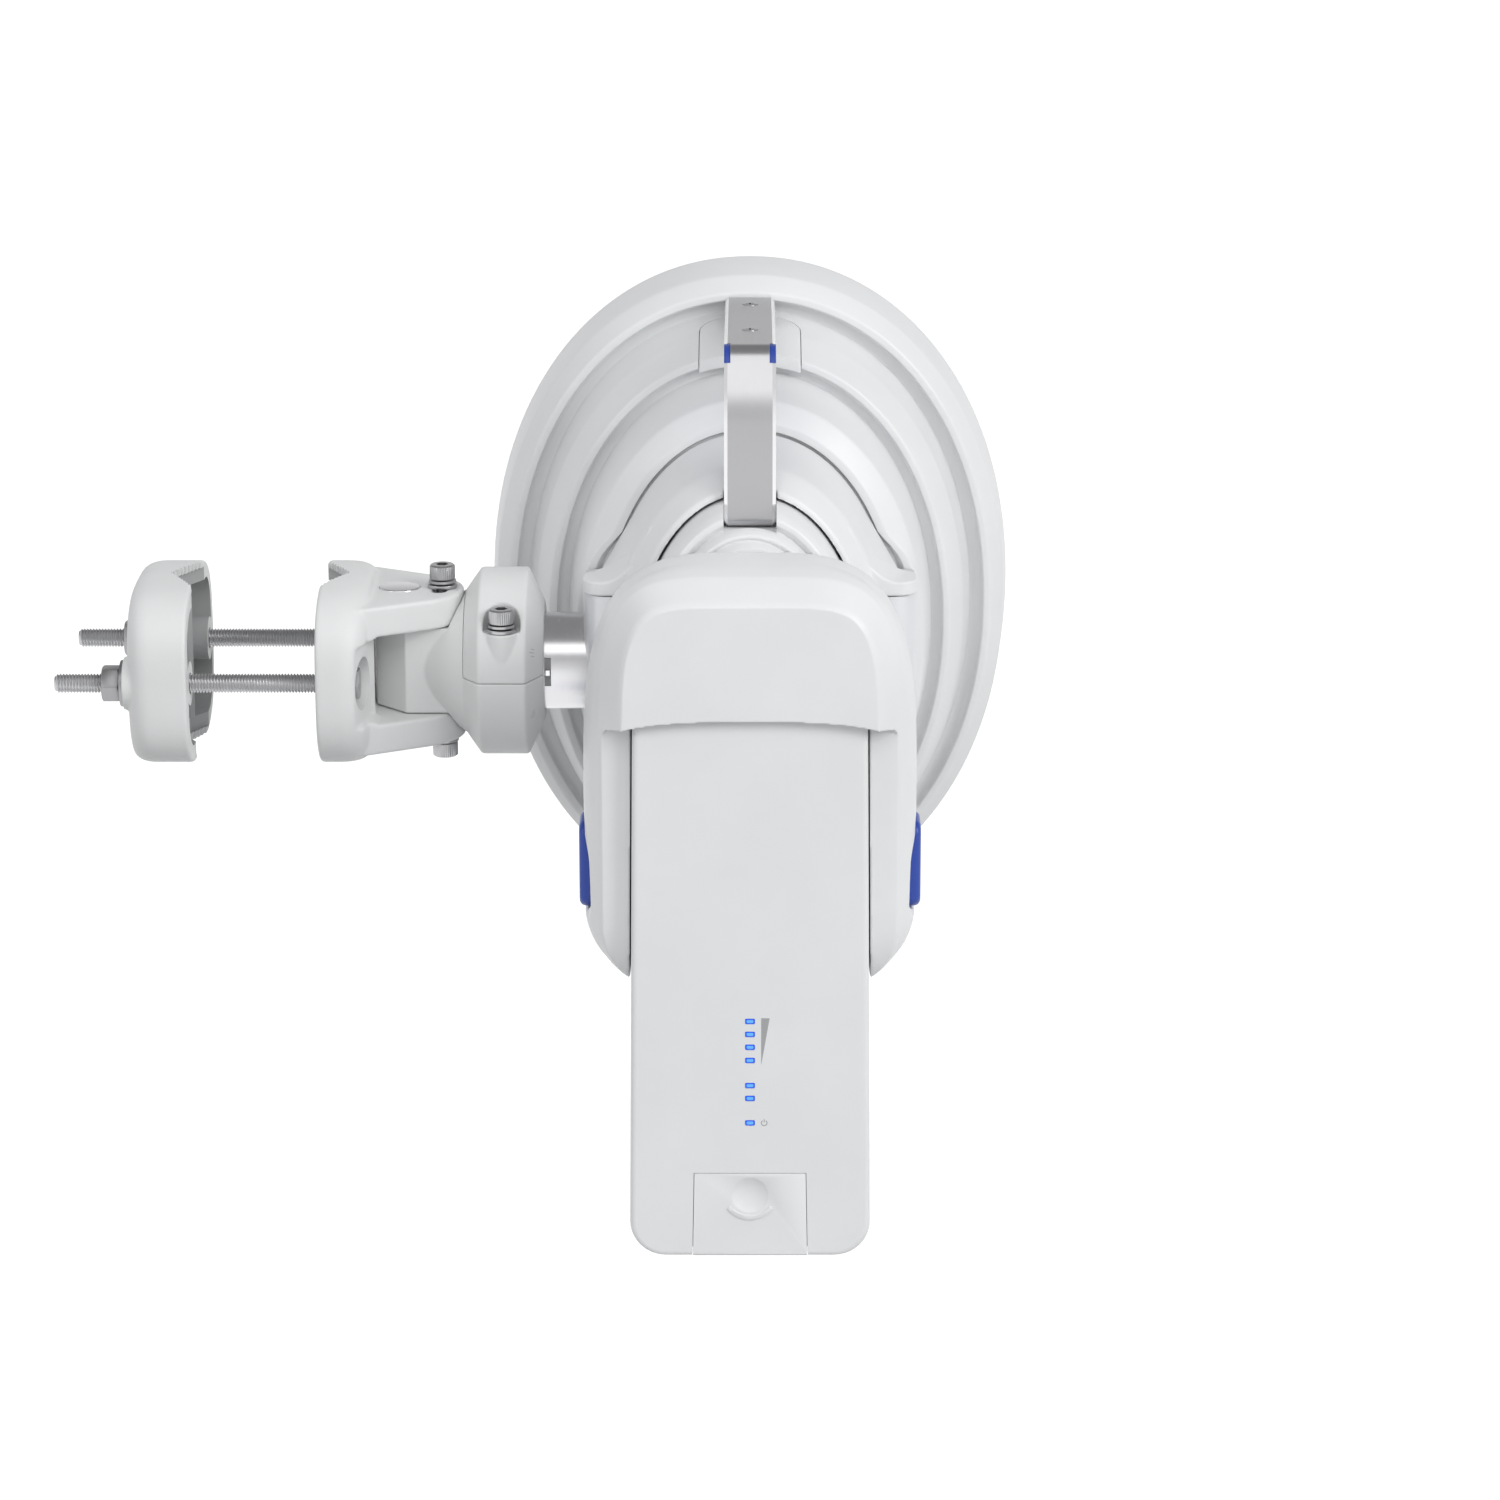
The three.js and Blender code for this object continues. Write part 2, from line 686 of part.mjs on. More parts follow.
// Swelling between the tongue and the ring
function knuckleDome() {
  const steps = 8;
  const start = pivotOffset + domeStart;
  const span = ringStart - start;
  const profile = [[start, 0]];
  for (let k = 0; k <= steps; k += 1) {
    const share = k / steps;
    const radius = domeRootRadius + (ringLeftRadius - domeRootRadius) * Math.sqrt(1 - (1 - share) ** 2);
    profile.push([start + span * share, radius]);
  }
  profile.push([ringStart, 0]);
  return turnX(profile, ringSegments);
}

function tongue() {
  const half = armGap / 2 - slideGap;
  const outline = shapeOf([
    [pivotOffset - tongueNose, -tongueNoseHalfWidth],
    [pivotOffset + 1, -tongueHalfWidth],
    [pivotOffset + domeStart + 8, -tongueHalfWidth],
    [pivotOffset + domeStart + 8, tongueHalfWidth],
    [pivotOffset + 1, tongueHalfWidth],
    [pivotOffset - tongueNose, tongueNoseHalfWidth],
  ]);
  return prismZ(outline, -half, half);
}

function knuckle() {
  const half = armGap / 2 - slideGap;
  let body = unite(knuckleDome(), tongue());
  const lower = cut(
    ringForm(),
    box(ringStart - 1, ringStart + ringWidth + 1, -past, past, -seatGap / 2, past),
  );
  body = unite(body, lower.translate([-0.01, 0, 0]));
  for (const sign of [-1, 1]) {
    const z0 = sign > 0 ? half : -ringRadius - 5;
    const z1 = sign > 0 ? ringRadius + 5 : -half;
    body = cut(body, rodZ(armTipRadius + slideGap, z0, z1, pivotOffset, 0, ringSegments));
    const bolt0 = sign > 0 ? half - lockBoltLength + 8 : -half - 1;
    const bolt1 = sign > 0 ? half + 1 : -half + lockBoltLength - 8;
    body = cut(body, rodZ(screwRadius + boltGap / 2, bolt0, bolt1, pivotOffset + lockBoltOffset, 0));
  }
  body = cut(body, rodX(tubeBore, tubeStart - seatGap, ringStart + ringWidth + 1, 0, 0, ringSegments));
  for (const [, side] of sides) {
    const y = side * ringScrewSide;
    body = cut(body, rodZ(screwRadius + boltGap / 2, -ringScrewLength + 15, 1, ringScrewX, y));
  }
  body = cut(body, rodZ(pinRadius + slideGap, -ringRadius, ringRadius, pivotOffset, 0));
  return body;
}

function pivotPin() {
  const armTop = armGap / 2 + armThickness;
  return rodZ(pinRadius, -armTop, armTop + 0.4, pivotOffset, 0);
}

// Places of the tube in the antenna's own frame, whose X is measured from the horn's axis
const columnLeft = -columnHalfWidth;
const tubeEnd = columnLeft + tubeGrip;
const ringFace = ringStart + ringWidth - boresight;

function mastTube() {
  const start = tubeStart - boresight;
  const tube = rodX(tubeRadius, start, tubeEnd, 0, 0, ringSegments);
  const bore = rodX(tubeRadius - tubeWall, start - 1, tubeEnd + 1, 0, 0, roundSegments);
  const slotX = ringFace + seatGap;
  const slot = box(slotX, slotX + slotWidth, -tubeRadius - 1, -10, -slotHeight / 2, slotHeight / 2);
  return cut(tube, bore, slot);
}

function tubePointer() {
  const x0 = ringFace + 2 * seatGap;
  const half = pointerHeight / 2;
  return box(x0, x0 + slotWidth - 2 * seatGap, -tubeRadius - 0.8, -tubeRadius + tubeWall, -half, half);
}

// Plan of the column and of the cap on it
function columnPlan(far) {
  return roundedRectangle(-columnHalfWidth, columnHalfWidth, columnNear, far, columnCorner, 3);
}

function column() {
  const far = collarBell.base - seatGap;
  let body = prismZ(columnPlan(far), columnBottom, columnTop);
  body = cut(body, hornForm([[far + 1, boreHalf], [columnNear - 1, boreHalf]]));
  return cut(body, rodX(tubeRadius + seatGap / 2, columnLeft - 1, tubeEnd + seatGap, 0, 0, ringSegments));
}

function outerStations(bell) {
  return [
    [bell.base, bell.baseHalf],
    [bell.crease, bell.creaseHalf],
    [bell.back, bell.backHalf],
  ];
}

// Groove between the back rim of one bell and the base of the next
function grooveStations(bell, next) {
  const inner = bell.backHalf - bell.rim;
  return [
    [bell.back, inner],
    [next.base, grooveFloor(bell)],
  ];
}

function hornOutside() {
  const lip = [
    [mouthBell.base + lipRounding, mouthBell.baseHalf - lipRounding],
  ];
  return hornForm([
    ...lip,
    ...outerStations(mouthBell),
    ...grooveStations(mouthBell, middleBell),
    ...outerStations(middleBell),
    ...grooveStations(middleBell, rearBell),
    ...outerStations(rearBell),
  ]);
}

// Half width of a bell's draft at a given depth
function halfAt(bell, y) {
  const share = (bell.base - y) / (bell.base - bell.crease);
  return bell.baseHalf + (bell.creaseHalf - bell.baseHalf) * share;
}

const radomeY = mouthBell.base + lipRounding - radomeSeat;

function hornInside() {
  const w = hornWall;
  const seatHalf = halfAt(mouthBell, radomeY) - w;
  return hornForm([
    [mouthBell.base + lipRounding + 1, seatHalf + radomeSeatWidth],
    [radomeY, seatHalf + radomeSeatWidth],
    [radomeY, seatHalf],
    [middleBell.base + w, halfAt(mouthBell, middleBell.base + w) - w],
    [middleBell.base + w, middleBell.baseHalf - w],
    [rearBell.base + w, halfAt(middleBell, rearBell.base + w) - w],
    [rearBell.base + w, rearBell.baseHalf - w],
    [rearBell.crease + w, rearBell.creaseHalf - w],
    [rearBell.back + w, rearBell.backHalf - w],
    [rearBell.back + w, throatHalf],
    [rearBell.back - 1, throatHalf],
  ]);
}

// Height of the strap's underside above the horn at a given depth
function strapUnderside(y) {
  const share = (y - strapBack) / (strapFarEnd - strapBack);
  return strapTop + (strapFarTop - strapTop) * share - strapThickness;
}

// Block on the middle bell that carries the strap's far end
function strapPad(gap) {
  const half = padHalfWidth + gap;
  const y0 = strapScrewFar - padHalfLength - gap;
  const y1 = strapScrewFar + padHalfLength + gap;
  const foot = middleBell.backHalf + ringTallness - hornWall;
  const top = strapUnderside(y1) - seatGap;
  return prismZ(roundedRectangle(-half, half, y0, y1, 2), foot, top);
}

// The part of the middle bell's skin that lies under the port cover, a given depth thick
function coverSkin(depth, rimDepth, margin) {
  const skin = hornForm([
    [middleBell.base - 1, halfAt(middleBell, middleBell.base - 1) + margin],
    [middleBell.crease, middleBell.creaseHalf + margin],
    [middleBell.back, middleBell.backHalf + margin],
  ]);
  const core = hornForm([
    [middleBell.base, halfAt(middleBell, middleBell.base) - depth],
    [middleBell.crease, middleBell.creaseHalf - depth],
    [middleBell.back + depth, middleBell.backHalf - depth],
  ]);
  const inner = hornForm([
    [middleBell.base, middleBell.backHalf - rimDepth],
    [middleBell.back - 1, middleBell.backHalf - rimDepth],
  ]);
  const half = coverHalfWidth + margin;
  const plan = new THREE.Shape();
  plan.moveTo(half, middleBell.back - 1);
  plan.lineTo(half, coverFront - 7 + margin);
  plan.quadraticCurveTo(half * 0.8, coverFront + margin, 0, coverFront + 2 + margin);
  plan.quadraticCurveTo(-half * 0.8, coverFront + margin, -half, coverFront - 7 + margin);
  plan.lineTo(-half, middleBell.back - 1);
  return cut(skin, core, inner).intersect(prismZ(plan, 0, strapTop));
}

function hornShell() {
  const recess = coverSkin(coverThickness + seatGap, coverRim + seatGap, seatGap);
  let shell = cut(hornOutside(), recess);
  const top = strapUnderside(strapScrewFar);
  const hole = rodZ(strapScrewRadius - 1, top - 6, top + 1, 0, strapScrewFar, smallSegments);
  shell = cut(unite(shell, strapPad(0)), hole);
  return cut(shell, hornInside());
}

function portCover() {
  return cut(coverSkin(coverThickness, coverRim, 0), strapPad(seatGap));
}

function radome() {
  const half = halfAt(mouthBell, radomeY) - hornWall + radomeSeatWidth - seatGap;
  const front = radomeY + seatGap + radomeThickness;
  const dome = (y0, edge, rise) => {
    const shares = [1, 0.85, 0.6, 0.2];
    return shares.map((share) => {
      return ellipse(y0 + rise * (1 - share ** 2), edge * share, (edge + ringTallness) * share);
    });
  };
  const outer = loft([...dome(front, half, radomeRise).reverse(), ellipse(radomeY + seatGap, half)]);
  const hollow = dome(front - radomeThickness, half - 3, radomeRise).reverse();
  const inner = loft([...hollow, ellipse(radomeY - 1, half - 3)]);
  return cut(outer, inner);
}

const flareBack = rearBell.back + hornWall + 4 * seatGap;
const flareFront = radomeY - seatGap;

// Half width of the flare's outside, on a line from its throat that clears the middle bell's front edge
function flareHalf(y) {
  const edge = middleBell.base + hornWall;
  const rise = middleBell.baseHalf - hornWall - flareGap - flareThroatHalf;
  return flareThroatHalf + (rise * (y - flareBack)) / (edge - flareBack);
}

// The smooth metal flare inside the horn, with a flange that meets the shell behind the radome
function hornFlare() {
  const flangeBack = flareFront - flareFlange;
  const flangeHalf = halfAt(mouthBell, flangeBack) - hornWall - seatGap;
  const outer = hornForm([
    [flareFront, flangeHalf],
    [flangeBack, flangeHalf],
    [flangeBack, flareHalf(flangeBack)],
    [flareBack, flareThroatHalf],
  ]);
  const inner = hornForm([
    [flareFront + 1, flareHalf(flareFront + 1) - flareWall],
    [flareBack, flareThroatHalf - flareWall],
    [flareBack - 1, flareThroatHalf - flareWall],
  ]);
  return cut(outer, inner);
}

const feedFront = collarBell.base - 2 * seatGap;
const feedBack = cradleBackFace() + seatGap;

function cradleBackFace() {
  return radioFace + radioDepth + 2 * seatGap + cradleWall;
}

// Round waveguide on a plate that closes the horn's throat
function waveguide() {
  const plateBack = feedFront + seatGap;
  const plateFront = flareBack - seatGap;
  const plate = hornForm([[plateFront, throatHalf - seatGap], [plateBack, throatHalf - seatGap]]);
  const pipe = rodY(guideRadius + guideWall, feedBack + feedWall + seatGap, plateFront - 0.5, 0, 0);
  const bore = rodY(guideRadius, feedBack + feedWall + seatGap - 1, plateFront + 1, 0, 0);
  return cut(unite(plate, pipe), bore);
}

const cradleTop = radioTop + 2 * seatGap + cradleWall;

// Stepped tail of the horn; below the cradle's top it stops at the cradle's back
function feedHousing() {
  const stations = [[feedFront, tailBells[0].baseHalf]];
  tailBells.forEach((bell, k) => {
    stations.push(...outerStations(bell).slice(k === 0 ? 0 : 1));
    const next = tailBells[k + 1];
    if (next) {
      stations.push([bell.back, bell.backHalf - bell.rim]);
      stations.push([next.base, next.baseHalf]);
    }
  });
  const inside = hornForm([
    [feedFront + 1, tailBells[0].baseHalf - feedWall],
    [collarBell.back, tailBells[0].baseHalf - feedWall],
    [collarBell.back, strapFoot - ringTallness - 2],
    [feedBack + feedWall, strapFoot - ringTallness - 2],
  ]);
  const lowTail = box(-past, past, tailBells[2].back - 1, feedBack, -past, cradleTop + seatGap);
  const room = strapWidth / 2 + 2 * seatGap;
  const footRoom = box(-room, room, tailBells[0].back - 1, 0, strapFoot - 2 * seatGap, past);
  const tail = cut(hornForm(stations), inside, lowTail);
  return cut(tail, footRoom.intersect(box(-room, room, tailBells[0].back - 1, collarBell.back + 4, 0, past)));
}

// Half width at a given height of a horn ring
function ringSide(half, z) {
  return half * (1 - (z / (half + ringTallness)) ** ringRoundness) ** (1 / ringRoundness);
}

const capTop = columnTop + seatGap + capThickness;

// A section of the fillet: a hollow curve from the cap's shelf up to the bell
function filletSection(y, height, reach) {
  const half = halfAt(collarBell, y);
  const end = ringSide(half, capTop) + reach;
  const start = new THREE.Vector2(ringSide(half, capTop + height) - seatGap, capTop + height);
  const foot = new THREE.Vector2(end, capTop);
  const bend = new THREE.Vector2(end - 5, capTop);
  const curve = new THREE.QuadraticBezierCurve(foot, bend, start);
  const line = [[columnHalfWidth + 3, capTop - 1], [columnHalfWidth + 3, capTop]];
  curve.getPoints(8).forEach((p) => line.push([p.x, p.y]));
  line.push([20, capTop + height], [20, capTop - 1]);
  return line.map(([x, z]) => new THREE.Vector3(x, y, z));
}

// A section of the skirt: a straight flare from the bell's side down to the column's top
function skirtSection(y, flare) {
  const half = halfAt(collarBell, y);
  const foot = columnTop + seatGap;
  const head = foot + skirtRise;
  const side = ringSide(half, foot) + flare;
  const line = [[20, foot - 1], [side, foot - 1], [side, foot], [ringSide(half, head) - 0.1, head], [20, head]];
  return line.map(([x, z]) => new THREE.Vector3(x, y, z));
}

// Fillets over the shelf and skirts behind it, on both sides of the collar
function shoulders() {
  const plan = columnPlan(shelfFar);
  const fillet = loft([
    filletSection(shelfFar + 1, filletHeight, filletReach),
    filletSection(columnNear - 1, filletNearHeight, filletNearReach),
  ]).intersect(prismZ(plan, columnTop + seatGap, past));
  const skirt = loft([skirtSection(collarBell.base, skirtFlare), skirtSection(columnNear, 0)]);
  const right = unite(fillet, skirt);
  return unite(right, right.mirror([1, 0, 0]));
}

function collar() {
  const bottom = columnTop + seatGap;
  const inner = collarBell.backHalf - collarBell.rim;
  const bell = hornForm([
    ...outerStations(collarBell),
    [collarBell.back - 2, inner],
  ]);
  const cap = prismZ(columnPlan(shelfFar), bottom, capTop);
  const hollow = hornForm([
    [collarBell.base + 1, collarBell.baseHalf - 3.2],
    [collarBell.crease + 2, collarBell.creaseHalf - 3.2],
    [collarBell.back + 3, inner],
    [collarBell.back - 3, inner],
  ]);
  const footRoom = strapWidth / 2 + seatGap * 2;
  const footSlot = box(-footRoom, footRoom, strapBack - 1, collarBell.back + 2, strapFoot - 7, strapFoot + 16);
  const below = box(-past, past, -past, collarBell.base + 1, -past, bottom);
  return cut(unite(bell, cap, shoulders()), hollow, footSlot, below);
}

// The strap's side view: a foot that curls forward, a rise, a bend and a long upper leg
function strapOutline() {
  const t = strapThickness;
  const back = strapBack;
  const r = strapBend;
  const shape = new THREE.Shape();
  const footFront = collarBell.back + 1;
  shape.moveTo(footFront, strapFoot);
  shape.lineTo(footFront, strapFoot + t);
  shape.quadraticCurveTo(back + t, strapFoot + t, back + t, strapFoot + t + 4);
  shape.lineTo(back + t, strapTop - r);
  shape.quadraticCurveTo(back + t, strapTop - t, back + r, strapUnderside(back + r));
  shape.lineTo(strapFarEnd, strapUnderside(strapFarEnd));
  shape.lineTo(strapFarEnd, strapUnderside(strapFarEnd) + t);
  shape.lineTo(back + r, strapUnderside(back + r) + t);
  shape.quadraticCurveTo(back, strapTop, back, strapTop - r);
  shape.lineTo(back, strapFoot + 4);
  shape.quadraticCurveTo(back, strapFoot, back + 4, strapFoot);
  return shape;
}

function strap() {
  const half = strapWidth / 2;
  let body = prismX(strapOutline(), -half, half, strapBevel);
  for (const y of [strapScrewNear, strapScrewFar]) {
    body = cut(body, rodZ(strapScrewRadius + seatGap, strapFoot, strapTop + 2, 0, y, smallSegments));
  }
  for (const [, side] of hands) {
    const x0 = side > 0 ? notchStart() : -half - 1;
    const x1 = side > 0 ? half + 1 : -notchStart();
    const notch = box(x0, x1, strapBack - 1, strapBack + 7, insertBottom(), insertBottom() + insertHeight);
    body = cut(body, notch);
  }
  return body;
}

function notchStart() {
  return strapWidth / 2 - 2.2;
}

function insertBottom() {
  return strapTop - strapBend - insertHeight + 1.2;
}

// Blue grip liner under the strap's upper leg, which shows in a notch at each edge of the bend
function strapInsert() {
  const half = gripHalfWidth;
  const inside = strapBack + strapThickness + seatGap;
  const z0 = insertBottom();
  const end = strapScrewNear + padHalfLength;
  const under = (y) => strapUnderside(y) - seatGap;
  const start = strapBack + strapBend + 1;
  const outline = shapeOf([
    [inside, z0 - 6],
    [inside + 1.6, z0 - 6],
    [inside + 5, under(start) - gripThickness],
    [end - 3, under(end) - gripThickness],
    [end, under(end) - gripThickness + 1.5],
    [end, under(end)],
    [start, under(start)],
    [inside, z0 + insertHeight - seatGap],
  ]);
  const liner = prismX(outline, -half, half, 0.6);
  const tabs = hands.map(([, side]) => {
    const x0 = side > 0 ? notchStart() + seatGap : -strapWidth / 2;
    const x1 = side > 0 ? strapWidth / 2 : -notchStart() - seatGap;
    return box(x0, x1, strapBack + 0.6, inside + 1.5, z0 + seatGap, z0 + insertHeight - seatGap);
  });
  const links = hands.map(([, side]) => {
    const x0 = side > 0 ? half - 1 : -strapWidth / 2;
    const x1 = side > 0 ? strapWidth / 2 : 1 - half;
    return box(x0, x1, inside, inside + 1.5, z0 + seatGap, z0 + insertHeight - seatGap);
  });
  const hole = rodZ(strapScrewRadius - 1, z0, strapTop, 0, strapScrewNear, smallSegments);
  return cut(unite(liner, ...tabs, ...links), hole);
}

function strapScrew(y) {
  const top = strapUnderside(y) + strapThickness;
  const head = rodZ(strapScrewRadius, top - 2, top + 0.3, 0, y, smallSegments);
  const shank = rodZ(strapScrewRadius - 1.3, top - strapThickness - 5, top - 1, 0, y, smallSegments);
  return unite(head, shank);
}

// Half width of the radio, which narrows upwards
function radioHalf(z) {
  const share = (radioTop - z) / radioLength;
  return radioTopHalf + (radioBottomHalf - radioTopHalf) * share;
}

// The radio's outline in X and Z, drawn in by an inset
function radioOutline(inset) {
  const z0 = radioBottom + inset;
  const z1 = radioTop - inset;
  const r = radioCorner - inset;
  const topR = radioTopCorner - inset;
  const low = radioHalf(z0) - inset;
  const high = radioHalf(z1) - inset;
  const shape = new THREE.Shape();
  shape.moveTo(-low + r, z0);
  shape.lineTo(low - r, z0);
  shape.absarc(low - r, z0 + r, r, -Math.PI / 2, 0, false);
  shape.absarc(high - topR, z1 - topR, topR, 0, Math.PI / 2, false);
  shape.absarc(-high + topR, z1 - topR, topR, Math.PI / 2, Math.PI, false);
  shape.absarc(-low + r, z0 + r, r, Math.PI, 1.5 * Math.PI, false);
  return shape;
}

const coverBack = radioFace + frontCoverDepth;
const radioBack = radioFace + radioDepth;

function ledBlock(z, gap) {
  const halfWidth = ledWidth / 2 + gap;
  const halfHeight = ledHeight / 2 + gap;
  const front = gap > 0 ? radioFace - 1 : radioFace;
  return box(-halfWidth, halfWidth, front, radioFace + ledDepth, z - halfHeight, z + halfHeight);
}

function doorOutline(gap) {
  const top = radioBottom + doorLength + gap;
  const bottom = radioBottom - (gap > 0 ? 1 : 0);
  return shapeOf([
    [-doorBottomHalf - gap, bottom],
    [doorBottomHalf + gap, bottom],
    [doorTopHalf + gap, top],
    [-doorTopHalf - gap, top],
  ]);
}

// The door lies on the front cover and turns under the radio's bottom
function doorForm(gap) {
  const front = gap > 0 ? radioFace - 1 : radioFace;
  const plate = prismY(doorOutline(gap), front, radioFace + doorThickness + gap);
  const half = doorBottomHalf + gap;
  const low = radioBottom - (gap > 0 ? 1 : 0);
  const foot = box(-half, half, front, radioFace + doorReach + gap, low, radioBottom + doorThickness + gap);
  return unite(plate, foot);
}

function dimple() {
  const sphereRadius = (dimpleRadius ** 2 + dimpleDepth ** 2) / (2 * dimpleDepth);
  const ball = new THREE.SphereGeometry(sphereRadius, roundSegments, ringSegments);
  ball.rotateX(Math.PI / 2);
  ball.translate(0, radioFace - sphereRadius + dimpleDepth, radioBottom + doorLength - 8);
  const near = box(-12, 12, radioFace - 1, radioFace + 3, radioBottom, radioBottom + doorLength);
  return solid(ball).intersect(near);
}

function cableDoor() {
  return cut(doorForm(0), dimple());
}

function radioFrontCover() {
  const cover = bevelledFront();
  const inside = prismY(radioOutline(radioWall), radioFace + radioWall + 1, coverBack + 1);
  const leds = ledHeights.map((z) => ledBlock(z, seatGap / 2));
  const backing = box(
    -doorBottomHalf - 3,
    doorBottomHalf + 3,
    radioFace + 1,
    radioFace + doorThickness + 2 * seatGap + radioWall,
    radioBottom + 1,
    radioBottom + doorLength + 3,
  );
  return cut(unite(cut(cover, inside), backing.intersect(cover)), ...leds, doorForm(seatGap));
}

// The cover's face, narrowed by its bevel, skinned to the full outline behind it
function bevelledFront() {
  const outline = (inset, y) => radioOutline(inset).getPoints(6).map((p) => new THREE.Vector3(p.x, y, p.y));
  return loft([
    outline(0, coverBack - seatGap / 2),
    outline(0, radioFace + radioBevel),
    outline(radioBevel * 0.35, radioFace + radioBevel * 0.35),
    outline(radioBevel, radioFace),
  ]);
}

function radioBackHousing() {
  const outline = (inset, y) => radioOutline(inset).getPoints(6).map((p) => new THREE.Vector3(p.x, y, p.y));
  const outer = loft([
    outline(3, radioBack),
    outline(0, radioBack - 3),
    outline(0, coverBack + seatGap / 2),
  ]);
  const inside = prismY(radioOutline(radioWall), coverBack - 1, radioBack - radioWall);
  const port = box(-11, 11, coverBack - 1, radioBack - 8, radioBottom - 1, radioBottom + 4);
  const plugs = hands.map(([, side]) => {
    const x = side * connectorSide;
    return rodZ(connectorRadius + seatGap, radioTop - 5, radioTop + 1, x, connectorY(), smallSegments);
  });
  return cut(outer, inside, port, ...plugs, doorForm(seatGap));
}

function boardY() {
  return coverBack + 3;
}

function connectorY() {
  return boardY() + boardThickness + connectorRadius + seatGap;
}

function circuitBoard() {
  const y = boardY();
  const board = prismY(
    roundedRectangle(-boardHalfWidth, boardHalfWidth, radioBottom + 6, radioTop - 14, 4),
    y,
    y + boardThickness,
  );
  const posts = [radioBottom + 70, radioTop - 40].flatMap((z) => hands.map(([, side]) => {
    const x = side * (boardHalfWidth - 5);
    return rodY(2.5, y + 0.5, radioBack - radioWall - seatGap, x, z, smallSegments);
  }));
  return unite(board, ...posts);
}

function shieldCan() {
  const y1 = boardY() - seatGap;
  return box(-24, 24, y1 - 5, y1, radioTop - 130, radioTop - 30);
}

function rfConnector(side) {
  const x = side * connectorSide;
  const y = connectorY();
  const top = radioTop;
  const barrel = rodZ(connectorRadius, top - 12, top + 0.2, x, y, smallSegments);
  const foot = box(x - 3, x + 3, boardY() + boardThickness + seatGap, y + 3, top - 16, top - 9);
  return unite(barrel, foot);
}

function ethernetJack() {
  const y0 = boardY() + boardThickness + seatGap;
  const z0 = radioBottom + 7;
  const half = jackWidth / 2;
  const shell = box(-half, half, y0, y0 + jackDepth, z0, z0 + jackHeight);
  const socket = box(-half + 2, half - 2, y0 + 2, y0 + jackDepth - 3, z0 - 1, z0 + jackHeight - 4);
  return cut(shell, socket);
}

// The cradle that the radio slides into: a back plate, two side rails and a stop at the top
function cradle() {
  const gap = 2 * seatGap;
  const front = cradleFront;
  const back = cradleBackFace();
  const half = radioHalf(cradleBottom) + gap + cradleWall;
  const outer = box(-half, half, front, back, cradleBottom, cradleTop);
  const bay = prismY(radioOutline(-gap), front - 1, radioBack + gap);
  const posts = [-62, -46].flatMap((z) => hands.map(([, side]) => {
    return rodY(5, back - 1, columnNear - seatGap, side * (half - 7), z, smallSegments);
  }));
  return unite(cut(outer, bay), ...posts).intersect(hoodHollow(hoodSideWall + 2 * seatGap));
}

// The hood's outline in X and Z: an arched top, straight sides and tapered lower corners
function hoodOutline(y, halfWidth, top, inset = 0) {
  const w = halfWidth - inset;
  const roundness = y < railFace ? hoodFaceRoundness : hoodRoundness;
  const rise = top - inset - hoodMiddle;
  const bottom = hoodBottom + inset * 0.5;
  const points = [];
  const steps = 24;
  for (let k = 0; k <= steps; k += 1) {
    const angle = (Math.PI * k) / steps;
    const x = w * power(Math.cos(angle), 2 / roundness);
    const z = hoodMiddle + rise * Math.sin(angle) ** (2 / roundness);
    points.push(new THREE.Vector3(x, y, z));
  }
  const lower = [[w, -74], [w - 2.6, -81.5], [w - 8.5, -89], [w - 15, bottom]];
  for (const [x, z] of [...lower].map(([a, b]) => [-a, b])) points.push(new THREE.Vector3(x, y, z));
  for (const [x, z] of [...lower].reverse()) points.push(new THREE.Vector3(x, y, z));
  return points;
}

// Depth, half width and top of the hood, from its front face to its back
const hoodStations = [
  [-22.3, hoodHalfWidth - 0.3, 43.5],
  [-41, hoodHalfWidth - 0.1, 48.6],
  [-60, hoodHalfWidth, 54.4],
  [-72, hoodHalfWidth - 0.9, 54],
  [-81, hoodHalfWidth - 3.3, 52.9],
  [-88, hoodHalfWidth - 7.4, 50.8],
  [hoodFace + 1.4, hoodHalfWidth - 13, 45.9],
  [hoodFace, hoodHalfWidth - 14.2, 44.7],
];

function hoodForm() {
  return loft(hoodStations.map(([y, halfWidth, top]) => hoodOutline(y, halfWidth, top)));
}

function hoodHollow(inset) {
  const sections = hoodStations.slice(0, 6).map(([y, halfWidth, top], k) => {
    const open = k === 0 ? 1 : 0;
    const closed = k === 5 ? 4 : 0;
    return hoodOutline(y + open + closed, halfWidth, top, inset);
  });
  return loft(sections);
}

// Height of the hood's lip, which sags to both sides and drops at its ends
function lipHeight(share) {
  return hoodLip - hoodLipSag * share ** 2 - hoodLipDrop * share ** 6;
}

function lipCut() {
  const half = hoodLipHalfWidth;
  const end = lipHeight(1);
  const steps = 12;
  const line = [[-half - 12, -past], [half + 12, -past], [half + 12, end - 4], [half + 1, end - 2]];
  for (let k = steps; k >= -steps; k -= 2) line.push([(half * k) / steps, lipHeight(k / steps)]);
  line.push([-half - 1, end - 2], [-half - 12, end - 4]);
  return prismY(shapeOf(line), hoodFace - 1, railFace);
}

